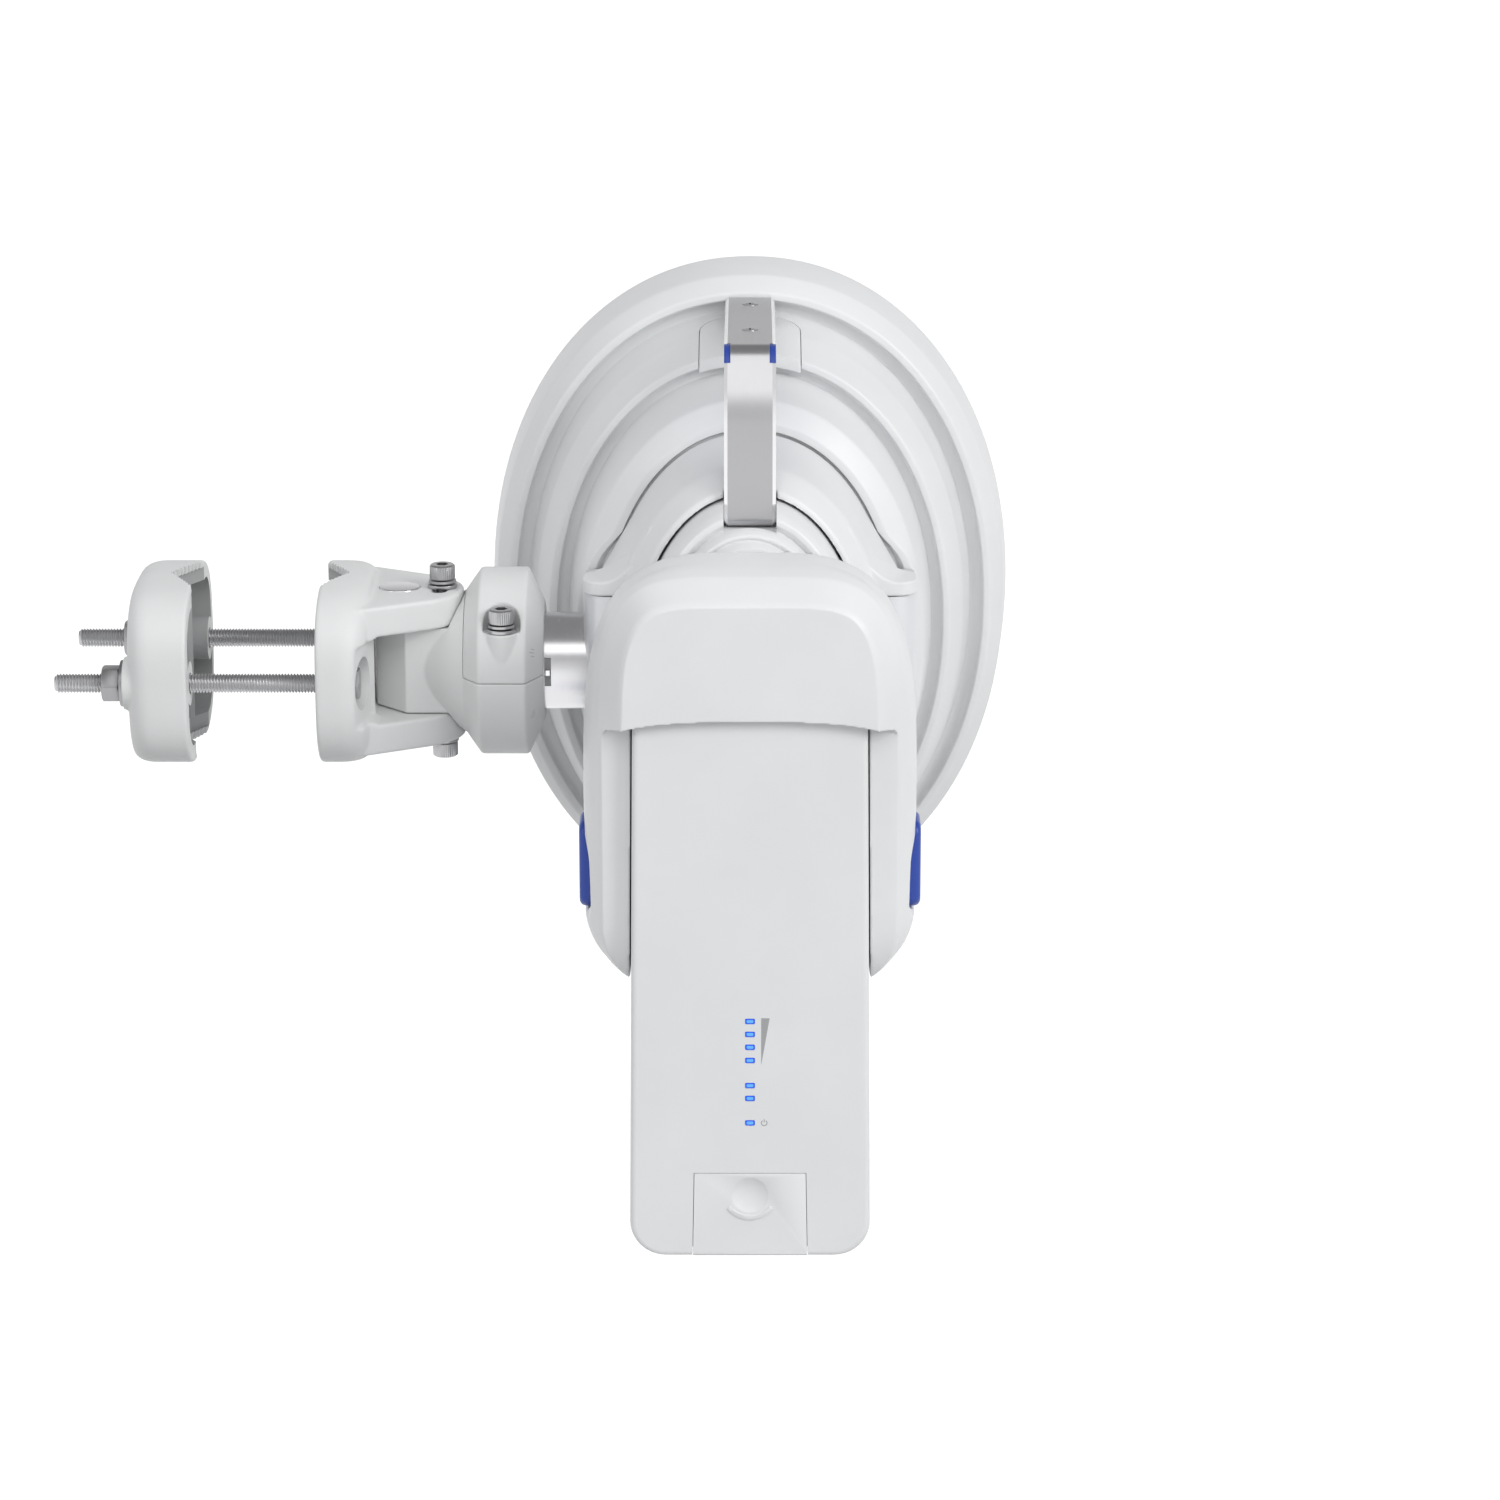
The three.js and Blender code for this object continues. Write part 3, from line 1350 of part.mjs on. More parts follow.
// Hollow in the hood's side that leaves the button proud, steeper at its lower end
function scoop(side) {
  const top = buttonTop + 0.5;
  const low = buttonTop - buttonLength;
  const edge = side * (hoodHalfWidth + 4);
  const line = [[0.2, top], [-1.1, top - 5], [-2.3, top - 9.5], [-scoopDepth, top - 15], [-scoopDepth, low + 2],
    [-2.2, low - 1.2], [-0.7, low - 3.4], [0.2, low - 4.4]];
  const points = line.map(([x, z]) => [side * (hoodHalfWidth + x), z]);
  points.push([edge, low - 4.4], [edge, top]);
  return prismY(shapeOf(side > 0 ? points : points.reverse()), hoodFace - 1, hoodBackEdge + 7);
}

// Window for a button in the hood's side
function buttonWindow(side) {
  const z0 = buttonTop - buttonLength;
  const half = buttonWidth / 2;
  const shape = roundedRectangle(buttonMiddle - half, buttonMiddle + half, z0, buttonTop, 5);
  const opening = prismX(shape, hoodHalfWidth - 10, hoodHalfWidth + 6);
  return side > 0 ? opening : opening.mirror([1, 0, 0]);
}

function button(side) {
  const z0 = buttonTop - buttonLength + slideGap;
  const z1 = buttonTop - slideGap;
  const half = buttonWidth / 2 - slideGap;
  const inner = hoodHalfWidth - hoodSideWall - 1.1;
  const outer = hoodHalfWidth + buttonProud;
  const outline = roundedRectangle(buttonMiddle - half, buttonMiddle + half, z0, z1, 5 - slideGap);
  const face = roundedRectangle(buttonMiddle - half + 1, buttonMiddle + half - 1, z0 + 1, z1 - 1, 4 - slideGap);
  const wide = roundedRectangle(buttonMiddle - half - 2, buttonMiddle + half + 2, z0 - 2, z1 + 2, 5);
  const body = unite(
    prismX(outline, inner - 1, outer - 1),
    prismX(face, outer - 2, outer),
    prismX(wide, inner - buttonFlange, inner),
  );
  return side > 0 ? body : body.mirror([1, 0, 0]);
}

function hood() {
  const gap = 2 * seatGap;
  const low = radioHalf(hoodBottom) + gap;
  const slot = prismY(radioOutline(-gap), radioFace - gap, hoodBackEdge - 3);
  const roofCut = box(-past, past, hoodBackEdge, 0, hoodLedge, past);
  const roofWall = box(-past, past, hoodBackEdge - 3, 0, hoodLedge - 3, past);
  let body = cut(hoodForm(), cut(hoodHollow(hoodSideWall), roofWall), lipCut(), roofCut, slot);
  for (const [, side] of hands) body = cut(body, scoop(side), buttonWindow(side));
  const below = box(-low, low, radioFace, 0, hoodBottom - 1, hoodBottom + 12);
  return cut(body, below, tailRoom());
}

// Room in the hood's roof for the stepped tail of the horn
function tailRoom() {
  const gap = 2 * seatGap;
  const rooms = tailBells.map((bell, k) => {
    const front = k === 0 ? 0 : bell.base + gap;
    return hornForm([[front, bell.baseHalf + gap], [bell.back - gap, bell.baseHalf + gap]]);
  });
  return unite(...rooms);
}

const clamp = new THREE.Group();
clamp.add(
  piece('fork_jaw', forkJaw(), 'casting'),
  piece('outer_jaw', outerJaw(), 'casting'),
  piece('pivot_pin', pivotPin(), 'chrome'),
);
for (const [name, side] of sides) {
  clamp.add(
    piece(`clamp_rod_${name}`, clampRod(side), 'steel'),
    piece(`clamp_nut_${name}`, clampNut(side), 'steel'),
    piece(`clamp_washer_${name}`, clampWasher(side), 'steel'),
  );
}

function addScrew(parent, label, length, x, y, z, turned) {
  const group = new THREE.Group();
  group.position.set(x, y, z);
  if (turned) group.rotation.x = Math.PI;
  group.add(
    piece(`${label}`, socketScrew(length), 'steel'),
    piece(`${label}_flat_washer`, flatWasher(), 'steel'),
    piece(`${label}_spring_washer`, springWasher(), 'steel'),
  );
  parent.add(group);
}

const armFace = armGap / 2 + armThickness;
addScrew(clamp, 'lock_bolt_top', lockBoltLength, pivotOffset + lockBoltOffset, 0, armFace, false);
addScrew(clamp, 'lock_bolt_bottom', lockBoltLength, pivotOffset + lockBoltOffset, 0, -armFace, true);
for (const [name, side] of sides) {
  const y = side * ringScrewSide;
  addScrew(clamp, `ring_screw_${name}`, ringScrewLength, ringScrewX, y, ringSeatHeight, false);
}
clamp.add(piece('knuckle', knuckle(), 'casting'), piece('ring_cap', ringCap(), 'casting'));

const antenna = new THREE.Group();
antenna.position.x = boresight;
antenna.add(
  piece('mast_tube', mastTube(), 'chrome'),
  piece('tube_pointer', tubePointer(), 'shell'),
  piece('column', column(), 'column'),
  piece('horn_shell', hornShell(), 'shell'),
  piece('radome', radome(), 'shell'),
  piece('horn_flare', hornFlare(), 'aluminium'),
  piece('waveguide', waveguide(), 'aluminium'),
  piece('feed_housing', feedHousing(), 'shell'),
  piece('collar', collar(), 'shell'),
  piece('port_cover', portCover(), 'shell'),
  piece('strap', strap(), 'aluminium'),
  piece('strap_insert', strapInsert(), 'blue'),
  piece('strap_screw_near', strapScrew(strapScrewNear), 'steel'),
  piece('strap_screw_far', strapScrew(strapScrewFar), 'steel'),
  piece('cradle', cradle(), 'black'),
  piece('hood', hood(), 'shell'),
);
for (const [name, side] of hands) {
  antenna.add(piece(`release_button_${name}`, button(side), 'blue'));
}

const radio = new THREE.Group();
radio.add(
  piece('radio_front_cover', radioFrontCover(), 'radio'),
  piece('radio_back_housing', radioBackHousing(), 'radio'),
  piece('circuit_board', circuitBoard(), 'board'),
  piece('shield_can', shieldCan(), 'steel'),
  piece('ethernet_jack', ethernetJack(), 'steel'),
  piece('cable_door', cableDoor(), 'radio'),
);
for (const [name, side] of hands) {
  radio.add(piece(`rf_connector_${name}`, rfConnector(side), 'brass'));
}
ledHeights.forEach((z, k) => {
  radio.add(piece(`status_light_${k + 1}`, ledBlock(z, 0), 'light'));
});
antenna.add(radio);

const bridge = new THREE.Group();
bridge.add(clamp, antenna);

export default bridge;
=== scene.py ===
"""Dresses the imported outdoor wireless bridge. Lengths are millimetres and turn into metres in build()."""

import math

import bmesh
import bpy
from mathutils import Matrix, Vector


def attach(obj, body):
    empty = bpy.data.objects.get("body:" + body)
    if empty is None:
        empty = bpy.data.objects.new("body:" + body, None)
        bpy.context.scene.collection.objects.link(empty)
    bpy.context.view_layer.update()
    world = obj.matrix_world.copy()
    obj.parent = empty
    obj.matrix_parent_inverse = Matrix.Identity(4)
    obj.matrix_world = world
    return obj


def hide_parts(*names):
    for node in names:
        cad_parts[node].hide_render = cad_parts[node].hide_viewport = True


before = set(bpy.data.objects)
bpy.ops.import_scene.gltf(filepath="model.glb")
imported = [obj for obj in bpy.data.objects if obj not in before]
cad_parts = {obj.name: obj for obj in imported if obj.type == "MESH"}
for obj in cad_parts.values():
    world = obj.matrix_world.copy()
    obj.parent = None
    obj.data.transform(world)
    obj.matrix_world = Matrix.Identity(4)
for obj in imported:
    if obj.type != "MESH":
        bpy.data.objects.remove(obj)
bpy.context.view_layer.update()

MM = 0.001
AXIS = 174.0  # X of the horn's axis
TALL = 26.5  # what a horn ring's half height exceeds its half width by
ROUND = 2.1  # exponent of the horn's rings, a little squarer than an ellipse
TUBE_BORE = 17.45
scene = bpy.context.scene
scene.view_settings.view_transform = "Standard"
root = scene.collection


# Camera, light and background


def add_camera():
    """The camera that was fitted to the photo: it looks down by 16 degrees."""
    data = bpy.data.cameras.new("camera")
    data.lens = 114
    data.sensor_width = 36
    data.clip_start = 0.05
    data.clip_end = 60
    camera = bpy.data.objects.new("camera", data)
    camera.location = (0.174, -1.63957, 0.43670)
    camera.rotation_euler = (math.radians(74), 0, 0)
    root.objects.link(camera)
    scene.camera = camera


def add_area(name, place, target, size, power):
    data = bpy.data.lights.new(name, "AREA")
    data.shape = "RECTANGLE"
    data.size, data.size_y = size
    data.energy = power
    lamp = bpy.data.objects.new(name, data)
    lamp.location = place
    lamp.rotation_euler = (Vector(target) - Vector(place)).to_track_quat("-Z", "Y").to_euler()
    root.objects.link(lamp)


def put(node, **values):
    """Sets inputs of a shader node; an underscore stands for a space."""
    for word, value in values.items():
        node.inputs[word.replace("_", " ")].default_value = value
    return node


def seen_directly(nodes, links):
    """One for a ray from the camera, a mirror-like surface or glass."""
    path = nodes.new("ShaderNodeLightPath")
    value = path.outputs["Is Camera Ray"]
    for word in ("Is Glossy Ray", "Is Transmission Ray"):
        higher = nodes.new("ShaderNodeMath")
        higher.operation = "MAXIMUM"
        links.new(value, higher.inputs[0])
        links.new(path.outputs[word], higher.inputs[1])
        value = higher.outputs[0]
    return value


def ceiling_seen_in_metal(nodes, links):
    """White, but metal sees a studio that grows darker from the horizon to the ceiling."""
    place = nodes.new("ShaderNodeTexCoord")
    parts = nodes.new("ShaderNodeSeparateXYZ")
    grade = put(nodes.new("ShaderNodeMapRange"), From_Min=0.02, From_Max=0.6, To_Min=0.95, To_Max=0.3)
    path = nodes.new("ShaderNodeLightPath")
    mix = put(nodes.new("ShaderNodeMix"), A=1)
    links.new(place.outputs["Generated"], parts.inputs[0])
    links.new(parts.outputs["Z"], grade.inputs["Value"])
    links.new(path.outputs["Is Glossy Ray"], mix.inputs["Factor"])
    links.new(grade.outputs["Result"], mix.inputs["B"])
    return mix.outputs["Result"]


def add_background(light_strength):
    world = bpy.data.worlds.new("studio")
    world.use_nodes = True
    nodes, links = world.node_tree.nodes, world.node_tree.links
    nodes.clear()
    seen = seen_directly(nodes, links)
    plain = put(nodes.new("ShaderNodeBackground"), Color=(1, 1, 1, 1))
    links.new(ceiling_seen_in_metal(nodes, links), plain.inputs["Strength"])
    light = put(nodes.new("ShaderNodeBackground"), Color=(0.97, 0.98, 1, 1), Strength=light_strength)
    mix = nodes.new("ShaderNodeMixShader")
    out = nodes.new("ShaderNodeOutputWorld")
    links.new(seen, mix.inputs[0])
    links.new(light.outputs[0], mix.inputs[1])
    links.new(plain.outputs[0], mix.inputs[2])
    links.new(mix.outputs[0], out.inputs["Surface"])
    scene.world = world


def add_floor(height, reach=9000):
    corners = [(-reach, -reach), (reach, -reach), (reach, reach), (-reach, reach)]
    floor = build([(x, y, height) for x, y in corners], [(0, 1, 2, 3)], "floor")
    made = bpy.data.materials.new("pale_floor")
    made.use_nodes = True
    nodes, links = made.node_tree.nodes, made.node_tree.links
    nodes.clear()
    seen = seen_directly(nodes, links)
    diffuse = put(nodes.new("ShaderNodeBsdfDiffuse"), Color=(0.45, 0.45, 0.45, 1))
    lift = put(nodes.new("ShaderNodeEmission"), Strength=0.86)
    both = nodes.new("ShaderNodeAddShader")
    mix = nodes.new("ShaderNodeMixShader")
    out = nodes.new("ShaderNodeOutputMaterial")
    links.new(diffuse.outputs[0], both.inputs[0])
    links.new(lift.outputs[0], both.inputs[1])
    links.new(seen, mix.inputs[0])
    links.new(diffuse.outputs[0], mix.inputs[1])
    links.new(both.outputs[0], mix.inputs[2])
    links.new(mix.outputs[0], out.inputs["Surface"])
    floor.data.materials.append(made)


# Mesh code


def build(points, faces, name="work"):
    """A mesh object from millimetres."""
    mesh = bpy.data.meshes.new(name)
    mesh.from_pydata([Vector(p) * MM for p in points], [], faces)
    obj = bpy.data.objects.new(name, mesh)
    root.objects.link(obj)
    edit(obj, lambda bm: bmesh.ops.recalc_face_normals(bm, faces=bm.faces))
    return obj


def edit(obj, change):
    bm = bmesh.new()
    bm.from_mesh(obj.data)
    change(bm)
    bm.to_mesh(obj.data)
    bm.free()
    obj.data.update()
    return obj


def apply(obj):
    """Applies the modifiers of a work object."""
    graph = bpy.context.evaluated_depsgraph_get()
    graph.update()
    made = bpy.data.meshes.new_from_object(obj.evaluated_get(graph))
    obj.modifiers.clear()
    old = obj.data
    obj.data = made
    bpy.data.meshes.remove(old)
    return obj


def combine(first, others, operation):
    """Boolean of closed meshes; the tools are used up."""
    for other in others:
        modifier = first.modifiers.new(operation, "BOOLEAN")
        modifier.operation = operation
        modifier.solver = "MANIFOLD"
        modifier.object = other
        apply(first)
        bpy.data.objects.remove(other)
    return first


def unite(first, *others):
    return combine(first, others, "UNION")


def cut(first, *others):
    return combine(first, others, "DIFFERENCE")


def meet(first, *others):
    return combine(first, others, "INTERSECT")


def join(first, *others):
    """Puts separate shells in one mesh without merging them."""
    def change(bm):
        for other in others:
            bm.from_mesh(other.data)
    edit(first, change)
    for other in others:
        bpy.data.objects.remove(other)
    return first


def copy(obj):
    twin = obj.copy()
    twin.data = obj.data.copy()
    root.objects.link(twin)
    return twin


def move(obj, x=0, y=0, z=0, mirror=None):
    """Shifts a mesh, after mirroring it in one axis where that is asked."""
    def change(bm):
        for vert in bm.verts:
            if mirror is not None:
                vert.co[mirror] = -vert.co[mirror]
            vert.co += Vector((x, y, z)) * MM
        if mirror is not None:
            bmesh.ops.reverse_faces(bm, faces=bm.faces)
    return edit(obj, change)


def soften(obj, voxel, rounds, keep=0.3):
    """Gives a cast or moulded piece rounded edges."""
    remesh = obj.modifiers.new("remesh", "REMESH")
    remesh.mode = "VOXEL"
    remesh.voxel_size = voxel * MM
    smooth = obj.modifiers.new("smooth", "SMOOTH")
    smooth.factor = 0.5
    smooth.iterations = rounds
    thin = obj.modifiers.new("thin", "DECIMATE")
    thin.ratio = keep
    return apply(obj)


def bevel(obj, width, segments=2, angle=40):
    edit(obj, lambda bm: (
        bmesh.ops.remove_doubles(bm, verts=bm.verts, dist=1e-6),
        bmesh.ops.dissolve_limit(bm, angle_limit=math.radians(1), verts=bm.verts, edges=bm.edges)))
    modifier = obj.modifiers.new("bevel", "BEVEL")
    modifier.width = width * MM
    modifier.segments = segments
    modifier.limit_method = "ANGLE"
    modifier.angle_limit = math.radians(angle)
    return apply(obj)


def curve(start, middle, end, steps=24):
    """A curve that bends towards its middle point."""
    shares = [k / steps for k in range(steps + 1)]
    return [tuple(a * (1 - t) ** 2 + 2 * b * t * (1 - t) + c * t * t for a, b, c in zip(start, middle, end))
            for t in shares]


def soft_path(points, reach, steps=4):
    """Rounds the corners of an open path of tuples by a reach for each of its points."""
    made = [tuple(points[0])]
    for before, here, after, want in zip(points, points[1:], points[2:], reach[1:]):
        back = [b - h for b, h in zip(before, here)]
        ahead = [a - h for a, h in zip(after, here)]
        size_back = math.sqrt(sum(v * v for v in back))
        size_ahead = math.sqrt(sum(v * v for v in ahead))
        length = min(want, 0.45 * size_back, 0.45 * size_ahead)
        start = [h + v * length / size_back for h, v in zip(here, back)]
        end = [h + v * length / size_ahead for h, v in zip(here, ahead)]
        made += curve(start, here, end, steps)
    made.append(tuple(points[-1]))
    return made


def loft(sections, loop=False):
    """A solid through sections of equal length, capped at its ends or closed in a loop."""
    count, rows = len(sections[0]), len(sections)
    faces = []
    for i in range(rows if loop else rows - 1):
        below = (i + 1) % rows
        for j in range(count):
            k = (j + 1) % count
            faces.append((i * count + j, i * count + k, below * count + k, below * count + j))
    if not loop:
        faces.append(tuple(range(count)))
        faces.append(tuple((rows - 1) * count + j for j in range(count)))
    return build([p for section in sections for p in section], faces)


def spot(axis, along, u, v):
    """A point from a place along an axis and two places across it, kept in X, Y, Z order."""
    return {"x": (along, u, v), "y": (u, along, v), "z": (u, v, along)}[axis]


def prism(axis, outline, start, end):
    return loft([[spot(axis, a, u, v) for u, v in outline] for a in (start, end)])


def box(x0, x1, y0, y1, z0, z1):
    return prism("z", [(x0, y0), (x1, y0), (x1, y1), (x0, y1)], z0, z1)


def arc(radius, start, end, steps, u, v):
    """Points round a centre between two angles in degrees."""
    angles = [math.radians(start + (end - start) * k / steps) for k in range(steps + 1)]
    return [(u + radius * math.cos(a), v + radius * math.sin(a)) for a in angles]


def circle(radius, u=0, v=0, count=64):
    angles = [2 * math.pi * k / count for k in range(count)]
    return [(u + radius * math.cos(a), v + radius * math.sin(a)) for a in angles]


def rod(axis, radius, start, end, u=0, v=0, count=64):
    return prism(axis, circle(radius, u, v, count), start, end)


def ball(radius):
    mesh = bpy.data.meshes.new("ball")
    bm = bmesh.new()
    bmesh.ops.create_uvsphere(bm, u_segments=128, v_segments=96, radius=radius * MM)
    bm.to_mesh(mesh)
    bm.free()
    made = bpy.data.objects.new("ball", mesh)
    root.objects.link(made)
    return made


def turned(axis, profile, u=0, v=0, count=96):
    """A solid of revolution from [place along the axis, radius] pairs."""
    return loft([[spot(axis, a, p, q) for p, q in circle(max(r, 0.01), u, v, count)] for a, r in profile])


def rounded(u0, u1, v0, v1, radius, steps=8):
    """A rectangle with round corners."""
    corners = [(u1 - radius, v1 - radius, 0), (u0 + radius, v1 - radius, 90),
               (u0 + radius, v0 + radius, 180), (u1 - radius, v0 + radius, 270)]
    made = []
    for u, v, start in corners:
        made += arc(radius, start, start + 90, steps, u, v)
    return made


def superellipse(half_width, half_height, roundness, count, arch=False):
    """All of the outline, or its upper half as an open line."""
    made = []
    for k in range(count + arch):
        angle = (1 if arch else 2) * math.pi * k / count
        c, s = math.cos(angle), math.sin(angle)
        reach = (abs(c) ** roundness + abs(s) ** roundness) ** (-1 / roundness)
        made.append((half_width * reach * c, half_height * reach * s))
    return made


# Materials


def material(name, colour, roughness, metallic=0, grain=0.3, grain_size=0.4, vary=0.02, brushed=None, coat=0,
             glow=None):
    """Colour and roughness drift a little over the surface, and a fine bump gives the finish its grain."""
    made = bpy.data.materials.new(name)
    made.use_nodes = True
    nodes, links = made.node_tree.nodes, made.node_tree.links
    shader = put(nodes["Principled BSDF"], Metallic=metallic, Coat_Weight=coat, Coat_Roughness=0.25)
    place = nodes.new("ShaderNodeTexCoord").outputs["Object"]

    cloud = put(nodes.new("ShaderNodeTexNoise"), Scale=28, Detail=4)
    links.new(place, cloud.inputs["Vector"])
    tint = nodes.new("ShaderNodeValToRGB")
    for stop, position, share in zip(tint.color_ramp.elements, (0.3, 0.7), (1 - vary, 1 + vary)):
        stop.position = position
        stop.color = (*[min(1, c * share) for c in colour], 1)
    links.new(cloud.outputs["Fac"], tint.inputs["Fac"])
    links.new(tint.outputs["Color"], shader.inputs["Base Color"])

    fine = put(nodes.new("ShaderNodeTexNoise"), Detail=3, Scale=1 / (grain_size * MM))
    if brushed:
        stretch = put(nodes.new("ShaderNodeMapping"), Scale=brushed)
        links.new(place, stretch.inputs["Vector"])
        place = stretch.outputs["Vector"]
    links.new(place, fine.inputs["Vector"])
    spread = nodes.new("ShaderNodeMapRange")
    put(spread, To_Min=max(0.03, roughness * 0.88), To_Max=min(1, roughness * 1.12))
    links.new(fine.outputs["Fac"], spread.inputs["Value"])
    links.new(spread.outputs["Result"], shader.inputs["Roughness"])
    bump = put(nodes.new("ShaderNodeBump"), Strength=grain, Distance=0.00005)
    links.new(fine.outputs["Fac"], bump.inputs["Height"])
    links.new(bump.outputs["Normal"], shader.inputs["Normal"])
    if glow:
        put(shader, Emission_Color=(*glow[0], 1), Emission_Strength=glow[1])
    return made


SHELL = material("moulded_shell", (0.80, 0.806, 0.81), 0.42, grain=0.25, grain_size=0.5, coat=0.05)
CASTING = material("coated_casting", (0.74, 0.745, 0.74), 0.5, grain=0.5, grain_size=0.7, vary=0.03)
COLUMN = material("satin_column", (0.72, 0.722, 0.74), 0.34, metallic=0.35, grain=0.2, grain_size=0.5)
RADIO = material("radio_housing", (0.79, 0.797, 0.80), 0.38, grain=0.2, coat=0.05)
STRAP = material("brushed_strap", (0.53, 0.53, 0.545), 0.33, metallic=1, grain=0.5, grain_size=0.3,
                 brushed=(1, 0.05, 0.05))
# A lighter copy of the strap's metal, put on the strap's bevels as a painted highlight.
PAINTED_HIGHLIGHT = material("painted_highlight_bevel", (0.93, 0.93, 0.94), 0.22, metallic=1, grain=0.1)
TUBE = material("polished_tube", (0.66, 0.66, 0.675), 0.26, metallic=1, grain_size=0.3, brushed=(1, 0.08, 0.08))
PIN = material("turned_pin", (0.80, 0.80, 0.82), 0.24, metallic=1, grain=0.05, grain_size=0.3)
ROD = material("threaded_steel", (0.56, 0.56, 0.57), 0.5, metallic=1, grain=0.05, grain_size=0.5)
SCREW = material("plated_screw", (0.48, 0.48, 0.49), 0.3, metallic=1, grain_size=0.3)
# A darker copy of the casting's colour: painted shade for the jaws' insides and the vee flanks below the teeth.
PAINTED_SHADE = material("casting_painted_shade", (0.42, 0.425, 0.425), 0.6, grain=0.5, grain_size=0.7, vary=0.04)
STEEL = material("fastener_steel", (0.34, 0.34, 0.35), 0.42, metallic=1, grain=0.4, grain_size=0.3, vary=0.06)
SPUN = material("spun_aluminium", (0.70, 0.70, 0.72), 0.35, metallic=1, grain=0.4)
BLUE = material("blue_plastic", (0.018, 0.058, 0.36), 0.36, vary=0.05)
LENS = material("light_lens", (0.015, 0.10, 0.70), 0.25, grain=0.05, glow=((0.01, 0.09, 0.8), 0.3), vary=0.05)
CORE = material("light_core", (0.10, 0.36, 0.90), 0.25, grain=0.05, glow=((0.10, 0.40, 1.0), 0.35))
MARK = material("printed_mark", (0.37, 0.375, 0.38), 0.5, grain=0.1, vary=0.05)
DARK = material("dark_moulding", (0.02, 0.02, 0.022), 0.5, grain=0.4, grain_size=0.5)
BOARD = material("board_mask", (0.01, 0.09, 0.04), 0.35, grain=0.4, grain_size=0.8, vary=0.15)
BRASS = material("turned_brass", (0.72, 0.50, 0.20), 0.25, metallic=1)


def finish(obj, name, body, look, replaced, angle=35):
    """Names a work object as a piece of the model."""
    edit(obj, lambda bm: bmesh.ops.remove_doubles(bm, verts=bm.verts, dist=1e-7))
    obj.name = obj.data.name = name
    obj.data.materials.clear()
    for one in look if isinstance(look, (list, tuple)) else [look]:
        obj.data.materials.append(one)
    obj.data.polygons.foreach_set("use_smooth", [True] * len(obj.data.polygons))
    obj.data.set_sharp_from_angle(angle=math.radians(angle))
    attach(obj, body)
    if replaced:
        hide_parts(*replaced)
    return obj


# Horn


def ring(y, half):
    """A horn section square to Y."""
    return [(AXIS + x, y, z) for x, z in superellipse(half, half + TALL, ROUND, 160)]


def rings(path):
    return loft([ring(y, half) for y, half in path])


COLUMN_HALF = 58.9
# The rear bell: Y of its crease, the way from there to its back, and the half width at the back
REAR_CREASE, REAR_RUN, REAR_HALF = 26, 5.35, 55.8
# Z and half width where it meets the cap on the column
FLARE = [(16, 58.9), (28.4, 58.6), (31.6, 57.3), (34.4, 55.6), (37.5, 52.9), (41.5, 49), (60, 20)]


def flared_ring(y, half):
    """A horn ring, whose sides swing out to the cap at the rear bell's back edge."""
    share = max(0, min(1, (REAR_CREASE - y) / REAR_RUN)) if half < 63.1 else 0
    made = []
    for x, z in superellipse(half, half + TALL, ROUND, 160):
        for (z0, x0), (z1, x1) in zip(FLARE, FLARE[1:]):
            if z0 <= z < z1:
                wide = x0 + (x1 - x0) * (z - z0) / (z1 - z0) + half - REAR_HALF
                x += math.copysign(max(0, wide - abs(x)) * share, x)
        if -10 < z < 16:
            wide = COLUMN_HALF + half - REAR_HALF
            x += math.copysign(max(0, wide - abs(x)) * share * (z + 10) / 26, x)
        made.append((AXIS + x, y, z))
    return made


# The middle bell: Y of its base, crease and back, and the half widths there
BASE, CREASE, BACK = 96, 72, 54
BASE_HALF, CREASE_HALF, BACK_HALF = 83, 79.3, 73.8


def cover_skin(depth, rim, margin):
    """The patch of the middle bell that the flush cover fills, with a rim under it."""
    side = BASE_HALF + (CREASE_HALF - BASE_HALF) * (BASE - 95) / (BASE - CREASE)
    skin = rings([(95, side + margin), (CREASE, CREASE_HALF + margin), (BACK, BACK_HALF + margin)])
    core = rings([(BASE, BASE_HALF - depth), (CREASE, CREASE_HALF - depth), (BACK + depth, BACK_HALF - depth)])
    inner = rings([(97, BACK_HALF - rim), (53, BACK_HALF - rim)])
    half = 18.4 + margin
    top = superellipse(half, 12 + margin, 2.6, 24, arch=True)
    plan = [(AXIS + half, 53)] + [(AXIS + x, 76 + y) for x, y in top] + [(AXIS - half, 53)]
    return meet(cut(skin, core, inner), prism("z", plan, 0, 119))


def strap_under(y):
    """Z of the straight part's underside."""
    return 118.6 - 3.6 * (y + 37) / 123.3 - 3


def strap_pad(gap, top):
    """The block on the middle bell that the strap's end rests on."""
    return prism("z", rounded(AXIS - 6.4 - gap, AXIS + 6.4 + gap, 63 - gap, 77 + gap, 2), 97.6, top)


